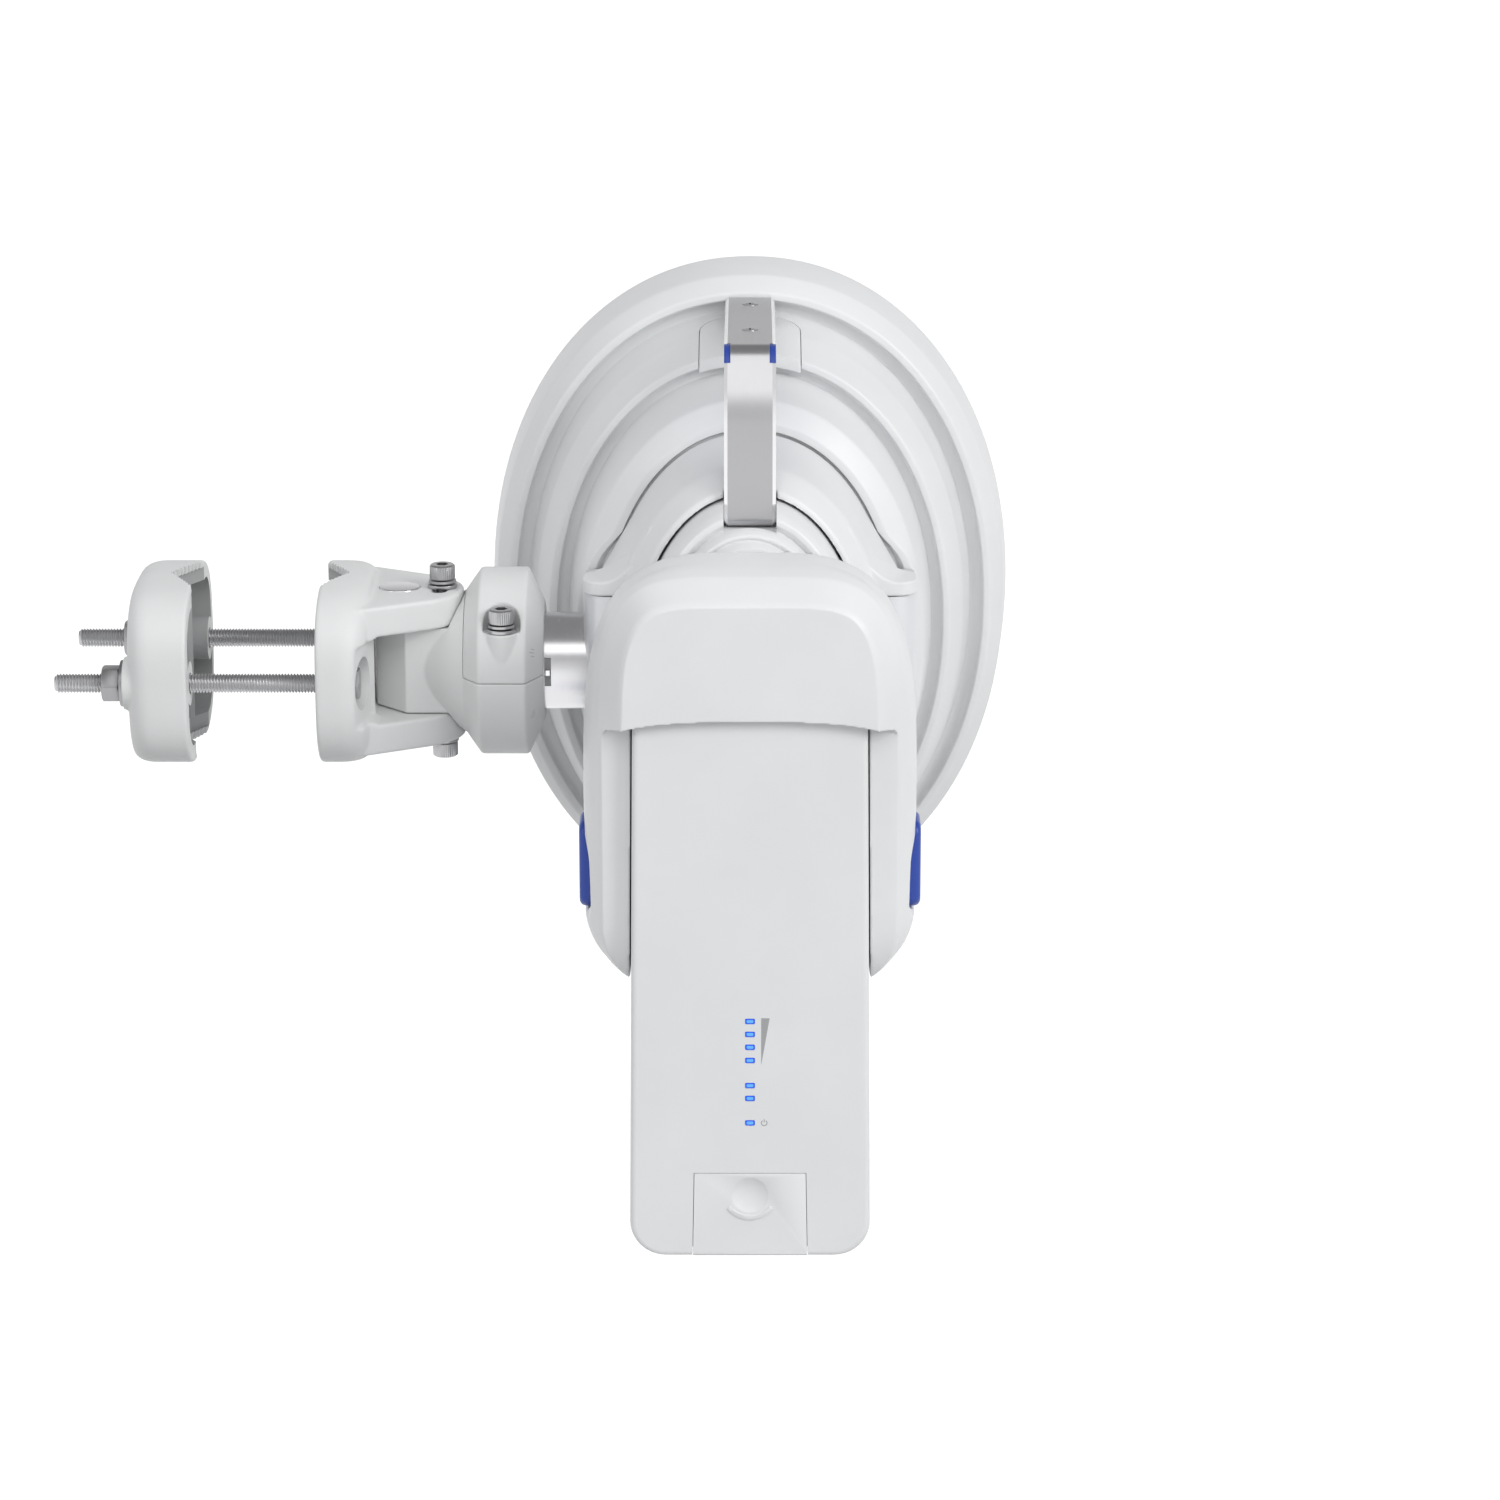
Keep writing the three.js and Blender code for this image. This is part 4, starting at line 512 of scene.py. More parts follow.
def add_horn():
    body = [(122.9, 95.6), (122.9, 97.65), (96, 95.3), (87, 90.3), (87, 87.4), (92.3, 87), (92.3, 82.43),
            (72, 79.3), (54, 73.8), (54, 71), (58.6, 70.6), (58.6, 66.79), (26, 63), (20.65, 55.8),
            (20.65, 52.95), (22.4, 52.5), (22.4, 48)]
    reach = [0, 0.9, 1.3, 0.9, 0.7, 1.4, 0.7, 1.3, 0.9, 0.7, 1.4, 0.7, 1.3, 0.6, 0.3, 0.3, 0]
    outer = soft_path(body, reach)
    inner = [(23.6, 48), (23.6, 52.9), (28.6, 60.4), (60.4, 64.4), (65.6, 64.7), (65.6, 68), (93.4, 80.4),
             (98.6, 80.4), (98.6, 92.9), (119, 94.7), (119, 95.6)]
    shell = loft([flared_ring(y, half) for y, half in outer] + [ring(y, half) for y, half in inner], loop=True)
    recess = cover_skin(1.6, 4.5, 0.3)
    pad = strap_pad(0, strap_under(77) - 0.3)
    shell = unite(cut(shell, recess), pad)
    finish(shell, "horn_bells", "antenna", SHELL, ["horn_shell"])
    cover = bevel(cut(cover_skin(1.3, 4.2, 0), strap_pad(0.3, 119)), 0.25)
    finish(cover, "flush_cover", "antenna", SHELL, ["port_cover"])


def add_radome():
    seat, back, front, bulge = 95.3, 119.3, 121.7, 7.65
    path = [(back, seat), (front - 0.6, seat), (front, seat - 0.6)]
    sections = [ring(y, half) for y, half in path]
    for k in range(1, 15):
        share = 1 - k / 14.5
        scale = share * (seat - 0.6) / seat
        outline = superellipse(seat * scale, (seat + TALL) * scale, ROUND, 160)
        sections.append([(AXIS + x, front + bulge * (1 - share ** 2), z) for x, z in outline])
    finish(loft(sections), "radome_dish", "antenna", SHELL, ["radome"])


def column_plan(far, far_corner):
    """The column's plan with its round near corners."""
    side = AXIS - COLUMN_HALF
    left = soft_path([(AXIS, far), (side, far), (side, -22), (AXIS, -22)], [0, far_corner, 12, 0], 10)
    return left[:-1] + [(2 * AXIS - x, y) for x, y in reversed(left)][:-1]


def ring_side(half, z):
    """Half width of a horn ring at the height Z."""
    return half * (1 - (z / (half + TALL)) ** ROUND) ** (1 / ROUND)


def collar_half(y):
    """Half width of the collar's bell at Y."""
    return 52.1 - 3.1 * (20.3 - y) / 40.3


# The cap over the column: its seam on the column and the top of its shelf
CAP_SEAM, SHELF = 28.9, 33.9


def fillet_section(y, height, reach):
    """A hollow curve from the cap's shelf up to the bell, and the block under it."""
    half = collar_half(y)
    end = ring_side(half, SHELF) + reach
    start = (ring_side(half, SHELF + height) - 0.3, SHELF + height)
    line = [(61.9, SHELF - 1), (61.9, SHELF)] + curve((end, SHELF), (end - 5, SHELF), start)
    return [(AXIS + x, y, z) for x, z in line + [(20, SHELF + height), (20, SHELF - 1)]]


def skirt_section(y, flare):
    """The bell's side as it runs out into a skirt that stands on the column."""
    half = collar_half(y)
    head = 54
    side = ring_side(half, CAP_SEAM) + flare
    bend = (ring_side(half, 42) + flare * 0.2, 42)
    line = [(20, 27.9), (side + 0.1, 27.9)] + curve((side, CAP_SEAM), bend, (ring_side(half, head) - 0.1, head))
    return [(AXIS + x, y, z) for x, z in line + [(20, head)]]


def add_collar():
    path = [(20.3, 48), (20.3, 51.9), (19.9, 52.1), (-20, 49), (-31, 43.4), (-31.3, 41.3), (-33, 41.3)]
    bell = rings(soft_path(path, [0, 0.1, 0.1, 2, 1.0, 0.3, 0]))
    plan = column_plan(-4.4, 5)
    fillet = loft([fillet_section(-3.4, 6.7, 11.8), fillet_section(-23, 6, 8)])
    meet(fillet, prism("z", plan, CAP_SEAM, 90))
    skirt = loft([skirt_section(20.3, 3.7), skirt_section(19.6, 4.4), skirt_section(-22, 0)])
    right = unite(fillet, skirt)
    left = move(copy(right), x=2 * AXIS, mirror=0)
    body = unite(bell, prism("z", plan, CAP_SEAM, SHELF), right, left)
    hollow = rings([(21.3, 48.9), (-18, 45.8), (-28, 41.3), (-36, 41.3)])
    slot = box(AXIS - 9.2, AXIS + 9.2, -40, -29.6, 50, 73.4)
    below = box(AXIS - 80, AXIS + 80, -60, 40, -120, CAP_SEAM)
    body = soften(cut(body, hollow, slot, below), 0.45, 4, 0.35)
    finish(body, "collar_bell", "antenna", SHELL, ["collar"], 50)


def add_column():
    body = prism("z", column_plan(20, 3), -72, 28.6)
    bore = rings([(22, 40.9), (-24, 40.9)])
    tube = rod("x", TUBE_BORE, AXIS - 60, AXIS - 43.2, 0, 0, 96)
    body = bevel(cut(body, bore, tube), 0.6, 3, 50)
    finish(body, "side_column", "antenna", COLUMN, ["column"])


def add_tail():
    path = [(19.7, 40.3), (-34, 40.3), (-42, 39), (-46, 37.3), (-46, 35.3), (-44, 33.3), (-50, 32.8),
            (-53, 31.8), (-53, 30.8), (-52, 29.8), (-57, 29.3), (-59.6, 28.5)]
    reach = [0, 3, 2, 0.7, 0.5, 0.4, 1, 0.7, 0.4, 0.3, 1, 0]
    body = rings(soft_path(path, reach))
    low = box(AXIS - 60, AXIS + 60, -70, -44.1, -80, 44.1)
    foot = box(AXIS - 9.15, AXIS + 9.15, -47, -27, 56.8, 80)
    finish(cut(body, low, foot), "horn_tail", "antenna", SHELL, ["feed_housing"])


# Strap handle


def strap_line():
    """Outer and inner faces of the strap, from the foot round the bend to the far end."""
    outer = [(-30, 57.4), (-37, 57.4), (-30.5, 99.5), (-21, 118.1), (86.3, 115)]
    inner = [(-30, 60.4), (-34.1, 60.4), (-27.67, 98.6), (-19.2, 115.05), (86.3, 112)]
    return soft_path(outer, [0, 4.2, 7, 4, 0], 10), soft_path(inner, [0, 2, 5.5, 2.5, 0], 10)


def add_strap():
    outer, inner = strap_line()
    sections = []
    for x, share in ((-9, 1.1 / 3), (-7.8, 0), (7.8, 0), (9, 1.1 / 3)):
        front = [(AXIS + x, yo + (yi - yo) * share, zo + (zi - zo) * share)
                 for (yo, zo), (yi, zi) in zip(outer, inner)]
        back = [(AXIS + x, y, z) for y, z in inner]
        sections.append(front + back[::-1])
    body = loft(sections)
    for y in (13, 70):
        cut(body, rod("z", 2.9, 100, 122, AXIS, y, 48))
    for side in (-1, 1):
        x0, x1 = sorted((AXIS + side * 6.8, AXIS + side * 10))
        cut(body, box(x0, x1, -24.5, -15.5, 112.6, 120))
    body = bevel(body, 0.15, 1, 60)
    piece = finish(body, "strap_handle", "antenna", [STRAP, PAINTED_HIGHLIGHT], ["strap"], 25)
    # The strap's bevel faces get the lighter metal: a painted highlight.
    for face in piece.data.polygons:
        if 0.35 < abs(face.normal.x) < 0.97:  # the bevels
            face.material_index = 1


def add_liner():
    """The blue piece under the strap's bend, whose pegs show in the strap's notches."""
    line = [(-25.4, 102.8), (-23.9, 102.8), (-20.5, 108.4), (17, 110.3), (20, 111.6),
            (20, strap_under(20) - 0.3), (-16.5, 114.75), (-19.3, 113.4), (-20.6, 112)]
    body = prism("x", line, AXIS - 7.6, AXIS + 7.6)
    peg = [(-19.5, 112.5), (-23.6, 112.5), (-21.6, 115.7), (-20.3, 116.9), (-17.6, 117.6), (-15.6, 117.65),
           (-15.6, 114.5)]
    for side in (-1, 1):
        x0, x1 = sorted((AXIS + side * 6.6, AXIS + side * 9))
        unite(body, prism("x", peg, x0, x1))
    cut(body, rod("z", 1.8, 100, 119, AXIS, 13, 32))
    finish(bevel(body, 0.3, 2, 30), "strap_liner", "antenna", BLUE, ["strap_insert"])


def screw_head_flush(y, name, node):
    """A cross-slotted screw that is let into the strap."""
    top = strap_under(y) + 3
    path = [(top - 8, 1.4), (top - 2.2, 1.4), (top - 2.1, 2.7), (top + 0.3, 2.7), (top + 0.3, 0)]
    body = turned("z", soft_path(path, [0, 0, 0.2, 0.4, 0]), AXIS, y, 48)
    for x, across in ((0.35, 1.5), (1.5, 0.35)):
        cut(body, box(AXIS - x, AXIS + x, y - across, y + across, top - 0.7, top + 1))
    finish(body, name, "antenna", SCREW, [node])


# Hood, cradle and buttons


def hood_outline(y, width, top, inset=0.0):
    """A section of the hood square to Y: an arch on two rails, squarer towards the front."""
    w, rise = width - inset, top - inset + 35
    bottom = -94 + inset * 0.5
    roundness = 3.5 + 2.2 * min(1, max(0, (-72 - y) / 26))
    made = [(x, z - 35) for x, z in superellipse(w, rise, roundness, 96, arch=True)]
    corner = soft_path([(w, -36), (w, -74), (w - 2.6, -81.5), (w - 8.5, -89), (w - 15, bottom)],
                       [0, 4, 3, 3, 0], 4)[1:]
    made += [(-x, z) for x, z in corner] + corner[::-1]
    return [(AXIS + x, y, z) for x, z in made]


# Y, half width and top of the hood's sections
HOOD = [(-22.3, 57.6, 43.5), (-41, 57.8, 48.6), (-60, 57.8, 54.4), (-72, 57, 54.3), (-80, 55, 53.6),
        (-87, 51.8, 52.1), (-98.6, 44.9, 45.9), (-100, 43.6, 44.7)]


RADIO_TOP, RADIO_LOW, RADIO_FRONT = 40.2, -189.8, -96


def radio_half(z):
    """The radio's half width, which grows a little towards its bottom."""
    return 39.75 + 2.05 * (RADIO_TOP - z) / 230


def radio_outline(inset):
    low, high = RADIO_LOW + inset, RADIO_TOP - inset
    r_low, r_top = 12.5 - inset, 20 - inset
    w_low, w_top = radio_half(low) - inset, radio_half(high) - inset
    right = arc(r_low, -90, 0, 10, w_low - r_low, low + r_low)
    right += arc(r_top, 0, 90, 10, w_top - r_top, high - r_top)
    return [(AXIS + x, z) for x, z in right] + [(AXIS - x, z) for x, z in reversed(right)]


def lip_cut():
    """What comes off the hood's front below its lip, so that the rails lie deeper."""
    drop = [(49.2 * k / 24, 4.9 - 2.8 * (k / 24) ** 2 - 2.6 * (k / 24) ** 6) for k in range(25)]
    end = drop + [(49.9, -2.2), (51, -4.6), (62, -8)]
    line = [(-x, z) for x, z in reversed(end[1:])] + end + [(62, -110), (-62, -110)]
    return prism("y", [(AXIS + x, z) for x, z in line], -110, -89)


def chin_cut():
    """Rounds the bottom of the rails towards the front."""
    turns = [math.pi / 36 * k for k in range(1, 18)]
    curve = [(-64 - 25 * math.cos(a) ** 0.667, -62 - 34 * math.sin(a) ** 0.667) for a in turns]
    return prism("x", [(-110, -62), (-89.2, -62)] + curve + [(-64, -96), (-64, -110), (-110, -110)], 100, 250)


def tail_room():
    """What the horn's tail takes out of the hood."""
    return unite(rings([(0, 40.9), (-46.6, 37.9)]), rings([(-43.4, 33.9), (-53.6, 33.9)]),
                 rings([(-51.4, 30.4), (-60.2, 30.4)]))


# The hollow beside a button: half widths and heights
SCOOP = [(58.2, -38.5), (57.3, -43), (56.3, -46.1), (55.4, -50.1), (55.1, -57.6), (54.9, -67.4), (55.4, -70.5),
         (57.1, -72.7), (58.2, -75)]


def add_hood():
    path = soft_path(HOOD, [0, 3, 4, 4, 3, 0.8, 0.5, 0], 4)
    body = loft([hood_outline(*station) for station in path])
    inner = []
    for k, (y, width, top) in enumerate(HOOD[:6]):
        inner.append(hood_outline(y + {0: 1, 5: 4}.get(k, 0), width, top, 5.5))
    hollow = cut(loft(inner), box(AXIS - 70, AXIS + 70, -44, 0, 25, 80))
    slot = prism("y", radio_outline(-0.6), -96.6, -44)
    roof = box(AXIS - 70, AXIS + 70, -41, 0, 28, 80)
    low = radio_half(-94) + 0.6
    below = box(AXIS - low, AXIS + low, -96, 0, -97, -82)
    cut(body, hollow, slot, roof, below, lip_cut(), tail_room(), chin_cut())
    for side in (-1, 1):
        edge = soft_path(SCOOP, [0, 2, 1.5, 2, 3, 2, 1, 1, 0], 4)
        scoop = prism("y", edge + [(62, -75), (62, -38.5)], -101, -34)
        window = prism("x", rounded(-70, -50, -72, -39, 5), 48, 64)
        for tool in (scoop, window):
            tool = move(tool, mirror=0) if side < 0 else tool
            cut(body, move(tool, x=AXIS))
    finish(soften(body, 0.5, 4, 0.3), "hood_shell", "antenna", SHELL, ["hood"], 50)


def add_buttons():
    for side, word in ((-1, "left"), (1, "right")):
        body = prism("x", rounded(-69.65, -50.35, -70.9, -40, 4.65), 48.4, 59.2)
        body = bevel(body, 2.2, 6, 50)
        flange = prism("x", rounded(-71.7, -48.3, -73.7, -37.3, 5), 49.4, 51.4)
        body = unite(body, flange)
        for k in range(-4, 5):
            groove = rod("y", 0.35, -66, -54, 59.45, -55.5 + 2.6 * k, 24)
            cut(body, groove)
        body = move(body, mirror=0) if side < 0 else body
        finish(move(body, x=AXIS), "button_cap_" + word, "release_button_" + word, BLUE,
               ["release_button_" + word])


# Radio


def sections_of(steps):
    """Radio sections from [Y, inset] pairs."""
    return [[(x, y, z) for x, z in radio_outline(inset)] for y, inset in steps]


DOOR_GAP, WALL = 0.22, 2.4  # round the cable door, and of the radio's housing


def door_cutter(gap):
    """The door's own shape at no gap, or the opening for it."""
    front, low = (RADIO_FRONT - 1, -191) if gap else (RADIO_FRONT, RADIO_LOW)
    base, head, top = 19.9 + gap, 19.3 + gap, -158.8 + gap
    plan = [(AXIS - base, low), (AXIS + base, low), (AXIS + head, top), (AXIS - head, top)]
    foot = box(AXIS - base, AXIS + base, front, -72 + gap, low, -187.2 + gap)
    return unite(prism("y", plan, front, -93.4 + gap), foot)


LIGHT_HEIGHTS = (-103, -107.7, -112.4, -117.2, -126.4, -131.1, -140.1)


def add_radio():
    front = soft_path([(-96, 1.9), (-95.7, 0.75), (-94.2, 0), (-78.2, 0)], [0, 0.8, 0.8, 0], 3)
    face = loft(sections_of([(-96, 2.2)] + front))
    hollow = prism("y", radio_outline(WALL), -92.6, -77)
    backing = box(AXIS - 22.9, AXIS + 22.9, -95, -90.4, -188.8, -155.8)
    cut(face, hollow)
    unite(face, meet(backing, loft(sections_of([(-95, 1), (-80, 1)]))))
    cut(face, door_cutter(DOOR_GAP))
    for z in LIGHT_HEIGHTS:
        cut(face, prism("y", rounded(AXIS - 1.72, AXIS + 1.72, z - 1.05, z + 1.05, 0.5, 4), -98, -90))
    finish(face, "radio_face", "radio", RADIO, ["radio_front_cover"])

    back = loft(sections_of(soft_path([(-77.8, 0), (-51, 0), (-48, 3), (-48, 4)], [0, 2, 0.6, 0])))
    cut(back, prism("y", radio_outline(WALL), -79, -50.4), box(AXIS - 11, AXIS + 11, -79, -56, -191, -185.8))
    cut(back, door_cutter(DOOR_GAP))
    for side in (-1, 1):
        cut(back, rod("z", 3.5, 35, 42, AXIS + side * 20, -69.9, 32))
    finish(back, "radio_back", "radio", RADIO, ["radio_back_housing"])

    door = door_cutter(0)
    corner = loft(sections_of([(-96.01, 1.0), (-95.4, 0.35), (-94.4, 0), (-60, 0)]))
    meet(door, corner)
    thumb = 13.28  # radius of the round hollow, which is 1.7 deep
    cut(door, move(ball(thumb), AXIS, RADIO_FRONT - thumb + 1.7, -166.8))
    door = bevel(door, 0.35, 2, 30)
    finish(unite(door, door_ridge()), "door_flap", "cable_door", RADIO, ["cable_door"])


def door_ridge():
    """A thin raised crescent under the thumb hollow."""
    outer = arc(9.6, -146, -34, 32, AXIS, -166.3)
    inner = arc(8.6, -143, -37, 32, AXIS, -165.6)
    ridge = prism("y", outer + inner[::-1], -96.45, -95)
    return bevel(ridge, 0.22, 2, 50)


def add_lights():
    for k, z in enumerate(LIGHT_HEIGHTS, 1):
        lens = prism("y", rounded(AXIS - 1.62, AXIS + 1.62, z - 0.95, z + 0.95, 0.45, 4), RADIO_FRONT, -92)
        bevel(lens, 0.12, 2)
        core = prism("y", rounded(AXIS - 1.15, AXIS + 1.15, z - 0.55, z + 0.55, 0.4, 4), -96.02, -95.6)
        body = join(lens, core)
        piece = finish(body, "lens_%d" % k, "radio", [LENS, CORE], ["status_light_%d" % k])
        for face in piece.data.polygons:
            c = face.center / MM
            if abs(c.x - AXIS) < 1.2 and abs(c.z - z) < 0.6 and -96.03 < c.y < -96.005:
                face.material_index = 1


def add_symbols():
    """Plain pictograms on the radio: a rising signal wedge and a power ring."""
    y0, y1 = -96.03, -95.6
    wedge = prism("y", [(AXIS + 3.85, -118.9), (AXIS + 6.75, -101.8), (AXIS + 3.85, -101.8)], y0, y1)
    finish(wedge, "signal_wedge", "radio", MARK, None)
    cx, cz = AXIS + 4.9, -140.1
    outer, inner = (arc(radius, 125, 415, 24, cx, cz) for radius in (1.15, 0.82))
    power = prism("y", outer + inner[::-1], y0, y1)
    join(power, box(cx - 0.16, cx + 0.16, y0, y1, cz + 0.2, cz + 1.35))
    finish(power, "power_ring", "radio", MARK, None)


# Clamp

RIM, OUTER_DEPTH, INNER_DEPTH = 22.37, 21.4, 17.6  # X of the jaws' rims at rest, and how deep the jaws are
INNER_BACK, OUTER_BACK = RIM + INNER_DEPTH, -RIM - OUTER_DEPTH
JAW_HALF, JAW_TALL, JAW_ROUND = 44, 32.4, 3.2  # half width, half height and exponent of a jaw's outline
VEE_HALF, VEE_DEPTH, TEETH = 18.8, 9.7, 9
PIVOT, ARM_IN, ARM_OUT = 49.5, 15.8, 26.8  # X of the swivel pin, and where an arm starts and ends in Z
ARC = 15.2  # from the pin to the lock bolts in the arms' arc slots
NUT_SEAT, HEAD_SEAT = OUTER_BACK - 1.2, INNER_BACK - 9
SIDES = ((-1, "near"), (1, "far"))
ROD_SIDE = 31.6


def jaw_block(depth, crown=9):
    """A block with a softly squared back and its front towards +X, where the vee is cut later."""
    stations = [(0, 0.7, 0), (0.25, 0.2, 0), (0.8, 0, 0)]
    for k in range(17):
        angle = math.pi / 2 * k / 16
        cosine = math.cos(angle)
        along = depth - crown * (1 - math.sin(angle) ** 0.8)
        stations.append((along, 10 * (1 - cosine), 4 * (1 - cosine ** 0.8)))
    sections = []
    for along, across, up in stations:
        down = across if along < 1 else up
        outline = superellipse(JAW_HALF - across, JAW_TALL - down, JAW_ROUND, 120)
        sections.append([(-along, y, z) for y, z in outline])
    return loft(sections)


def vee(height):
    """The toothed vee as a cutting tool."""
    flank = math.hypot(VEE_HALF, VEE_DEPTH)
    halves = []
    for side in (1, -1):
        teeth = []
        for k in range(TEETH):
            for share, lift in ((k / TEETH, -0.3), ((k + 0.03) / TEETH, 0.4)):
                x = -VEE_DEPTH * (1 - share) + VEE_HALF * lift / flank
                y = VEE_HALF * share - VEE_DEPTH * lift / flank
                teeth.append((x, side * max(0.05, y)))
        teeth += [(0, side * VEE_HALF), (3, side * VEE_HALF)]
        halves.append(teeth)
    bottom = [(-VEE_DEPTH - 0.4, 0)]
    return prism("z", halves[0][:0:-1] + bottom + halves[1][1:], -height, height)


def under_teeth():
    """The plain recess below the teeth, a little deeper than they are."""
    return prism("z", [(3, 20.2), (0.01, 20.2), (-11.6, 0), (0.01, -20.2), (3, -20.2)], -29.6, 29.6)


def shade_hollow(piece, sign, depth):
    """Painted shade: a darker casting colour inside a jaw and on its vee below the teeth."""
    for face in piece.data.polygons:
        x, y, z = (value / MM for value in face.center)
        x = sign * x - RIM
        hollow = 0.4 < x < depth and abs(y / JAW_HALF) ** JAW_ROUND + abs(z / JAW_TALL) ** JAW_ROUND < 0.8
        flank = 0.3 < x < 12 and abs(y) < 20.3 and abs(z) < 29.7 and sign * face.normal.x < -0.3
        if hollow or flank:
            face.material_index = 1


def jaw_hollow(depth):
    """A jaw's inside, between its bosses and ribs."""
    hollow = prism("x", rounded(-37.5, 37.5, -24.5, 24.5, 14), 5 - depth, 3)
    for side, _ in SIDES:
        cut(hollow, rod("x", 7.8, -depth, 4, side * ROD_SIDE, 0))
        cut(hollow, box(-depth, -2, side * 12 - 1.3, side * 12 + 1.3, -27, 27))
    return bevel(cut(hollow, box(-depth, -9.7, -39, 39, -1.3, 1.3)), 0.5, 2, 50)


def rod_holes(start, end):
    return unite(*[rod("x", 3.8, start, end, side * ROD_SIDE, 0, 48) for side, _ in SIDES])


def add_outer_jaw():
    jaw = jaw_block(OUTER_DEPTH)
    for side, _ in SIDES:
        unite(jaw, rod("x", 9.3, -OUTER_DEPTH - 1.75, -5, side * ROD_SIDE, 0))
    jaw = soften(jaw, 0.6, 3, 0.3)
    cut(jaw, jaw_hollow(OUTER_DEPTH), vee(40), under_teeth())
    move(jaw, x=-RIM)
    cut(jaw, rod_holes(NUT_SEAT - 1, 0))
    piece = finish(jaw, "outer_vee_jaw", "outer_jaw", [CASTING, PAINTED_SHADE], ["outer_jaw"], 30)
    shade_hollow(piece, -1, OUTER_DEPTH - 4.8)


def arm_outline():
    """An arm's plan: a wide root at the jaw, tangents to a round end on the pin."""
    foot = [(INNER_BACK - 6, 33.5), (INNER_BACK - 6, -33.5), (INNER_BACK, -31.5)]
    return foot + arc(22.8, -60, 60, 32, PIVOT, 0) + [(INNER_BACK, 31.5)]


def arc_slot(z0, z1):
    """The slot round the pin that a lock bolt runs in."""
    half, sweep = 2.9, 22
    x, y = arc(ARC, 0, sweep, 1, PIVOT, 0)[1]
    line = arc(ARC + half, -sweep, sweep, 16, PIVOT, 0) + arc(half, sweep, sweep + 180, 12, x, y)[1:-1]
    line += arc(ARC - half, sweep, -sweep, 16, PIVOT, 0) + arc(half, 180 - sweep, 360 - sweep, 12, x, -y)[1:-1]
    return prism("z", line, z0, z1)


def add_fork():
    jaw = move(jaw_block(INNER_DEPTH, 11), x=RIM, mirror=0)
    arms = prism("z", arm_outline(), -ARM_OUT, ARM_OUT)
    cut(arms, prism("y", rounded(INNER_BACK - 1.5, 90, -ARM_IN, ARM_IN, 2), -17.6, 17.6))
    for side, _ in SIDES:
        y0, y1 = sorted((side * 17.5, side * 44))
        cut(arms, prism("y", rounded(INNER_BACK + 1.6, 90, -ARM_IN, ARM_IN, 2), y0, y1))
    unite(jaw, arms)
    for side, _ in SIDES:
        slope = [(35.6, 45), (36.2, 41), (38, 33), (39.8, 22), (41.6, 17.6), (46, 17.6), (46, 45)]
        cut(jaw, prism("z", [(x, side * y) for x, y in slope], -14.5, 14.5))
    jaw = soften(jaw, 0.6, 14, 0.3)
    cut(jaw, move(unite(jaw_hollow(INNER_DEPTH - 3), vee(40), under_teeth()), x=RIM, mirror=0))
    cut(jaw, rod_holes(0, HEAD_SEAT + 1))
    for side, _ in SIDES:
        cut(jaw, rod("x", 9.4, HEAD_SEAT, INNER_BACK + 9, side * ROD_SIDE, 0))
    cut(jaw, rod("z", 7.35, -30, 30, PIVOT, 0, 96), arc_slot(-30, 30))
    piece = finish(jaw, "fork_and_vee_jaw", "fork", [CASTING, PAINTED_SHADE], ["fork_jaw"], 30)
    shade_hollow(piece, 1, INNER_DEPTH - 7.8)


# The split ring: its ends in X, its largest radius, the place of its screws and the seats of their washers
RING_START, RING_END, RING_RADIUS = 72.9, 101, 33.4
RING = [(RING_START, 25.4), (78.5, RING_RADIUS), (95.2, RING_RADIUS), (RING_END, 21)]
RING_SCREW = RING_START + (5.6 + 28.1 - 5.8) / 2
RING_SCREW_SIDE, RING_SCREW_SEAT = 27, 17.3


def ring_solid():
    path = soft_path([(RING_START, 0), *RING, (RING_END, 0)], [0, 0.5, 0.9, 0.9, 0.6, 0], 3)
    return turned("x", path, 0, 0, 160)


def add_ring_cap():
    cap = ring_solid()
    for side, _ in SIDES:
        unite(cap, rod("z", 5.7, 0, RING_SCREW_SEAT, RING_SCREW, side * RING_SCREW_SIDE))
    room = 6.6
    for side, _ in SIDES:
        y = side * RING_SCREW_SIDE
        y0, y1 = sorted((y, side * 36))
        cut(cap, rod("z", room, RING_SCREW_SEAT, 36, RING_SCREW, y),
            box(RING_SCREW - room, RING_SCREW + room, y0, y1, RING_SCREW_SEAT, 36),
            rod("z", 2.9, -2, 20, RING_SCREW, y, 48))
    cut(cap, rod("x", TUBE_BORE, 70, 103, 0, 0, 128), box(70, 104, -40, 40, -40, 0.08),
        box(70, RING_START + 0.06, -40, 40, -40, 40))
    finish(soften(cap, 0.4, 3, 0.35), "ring_cap_shell", "knuckle", CASTING, ["ring_cap"], 50)


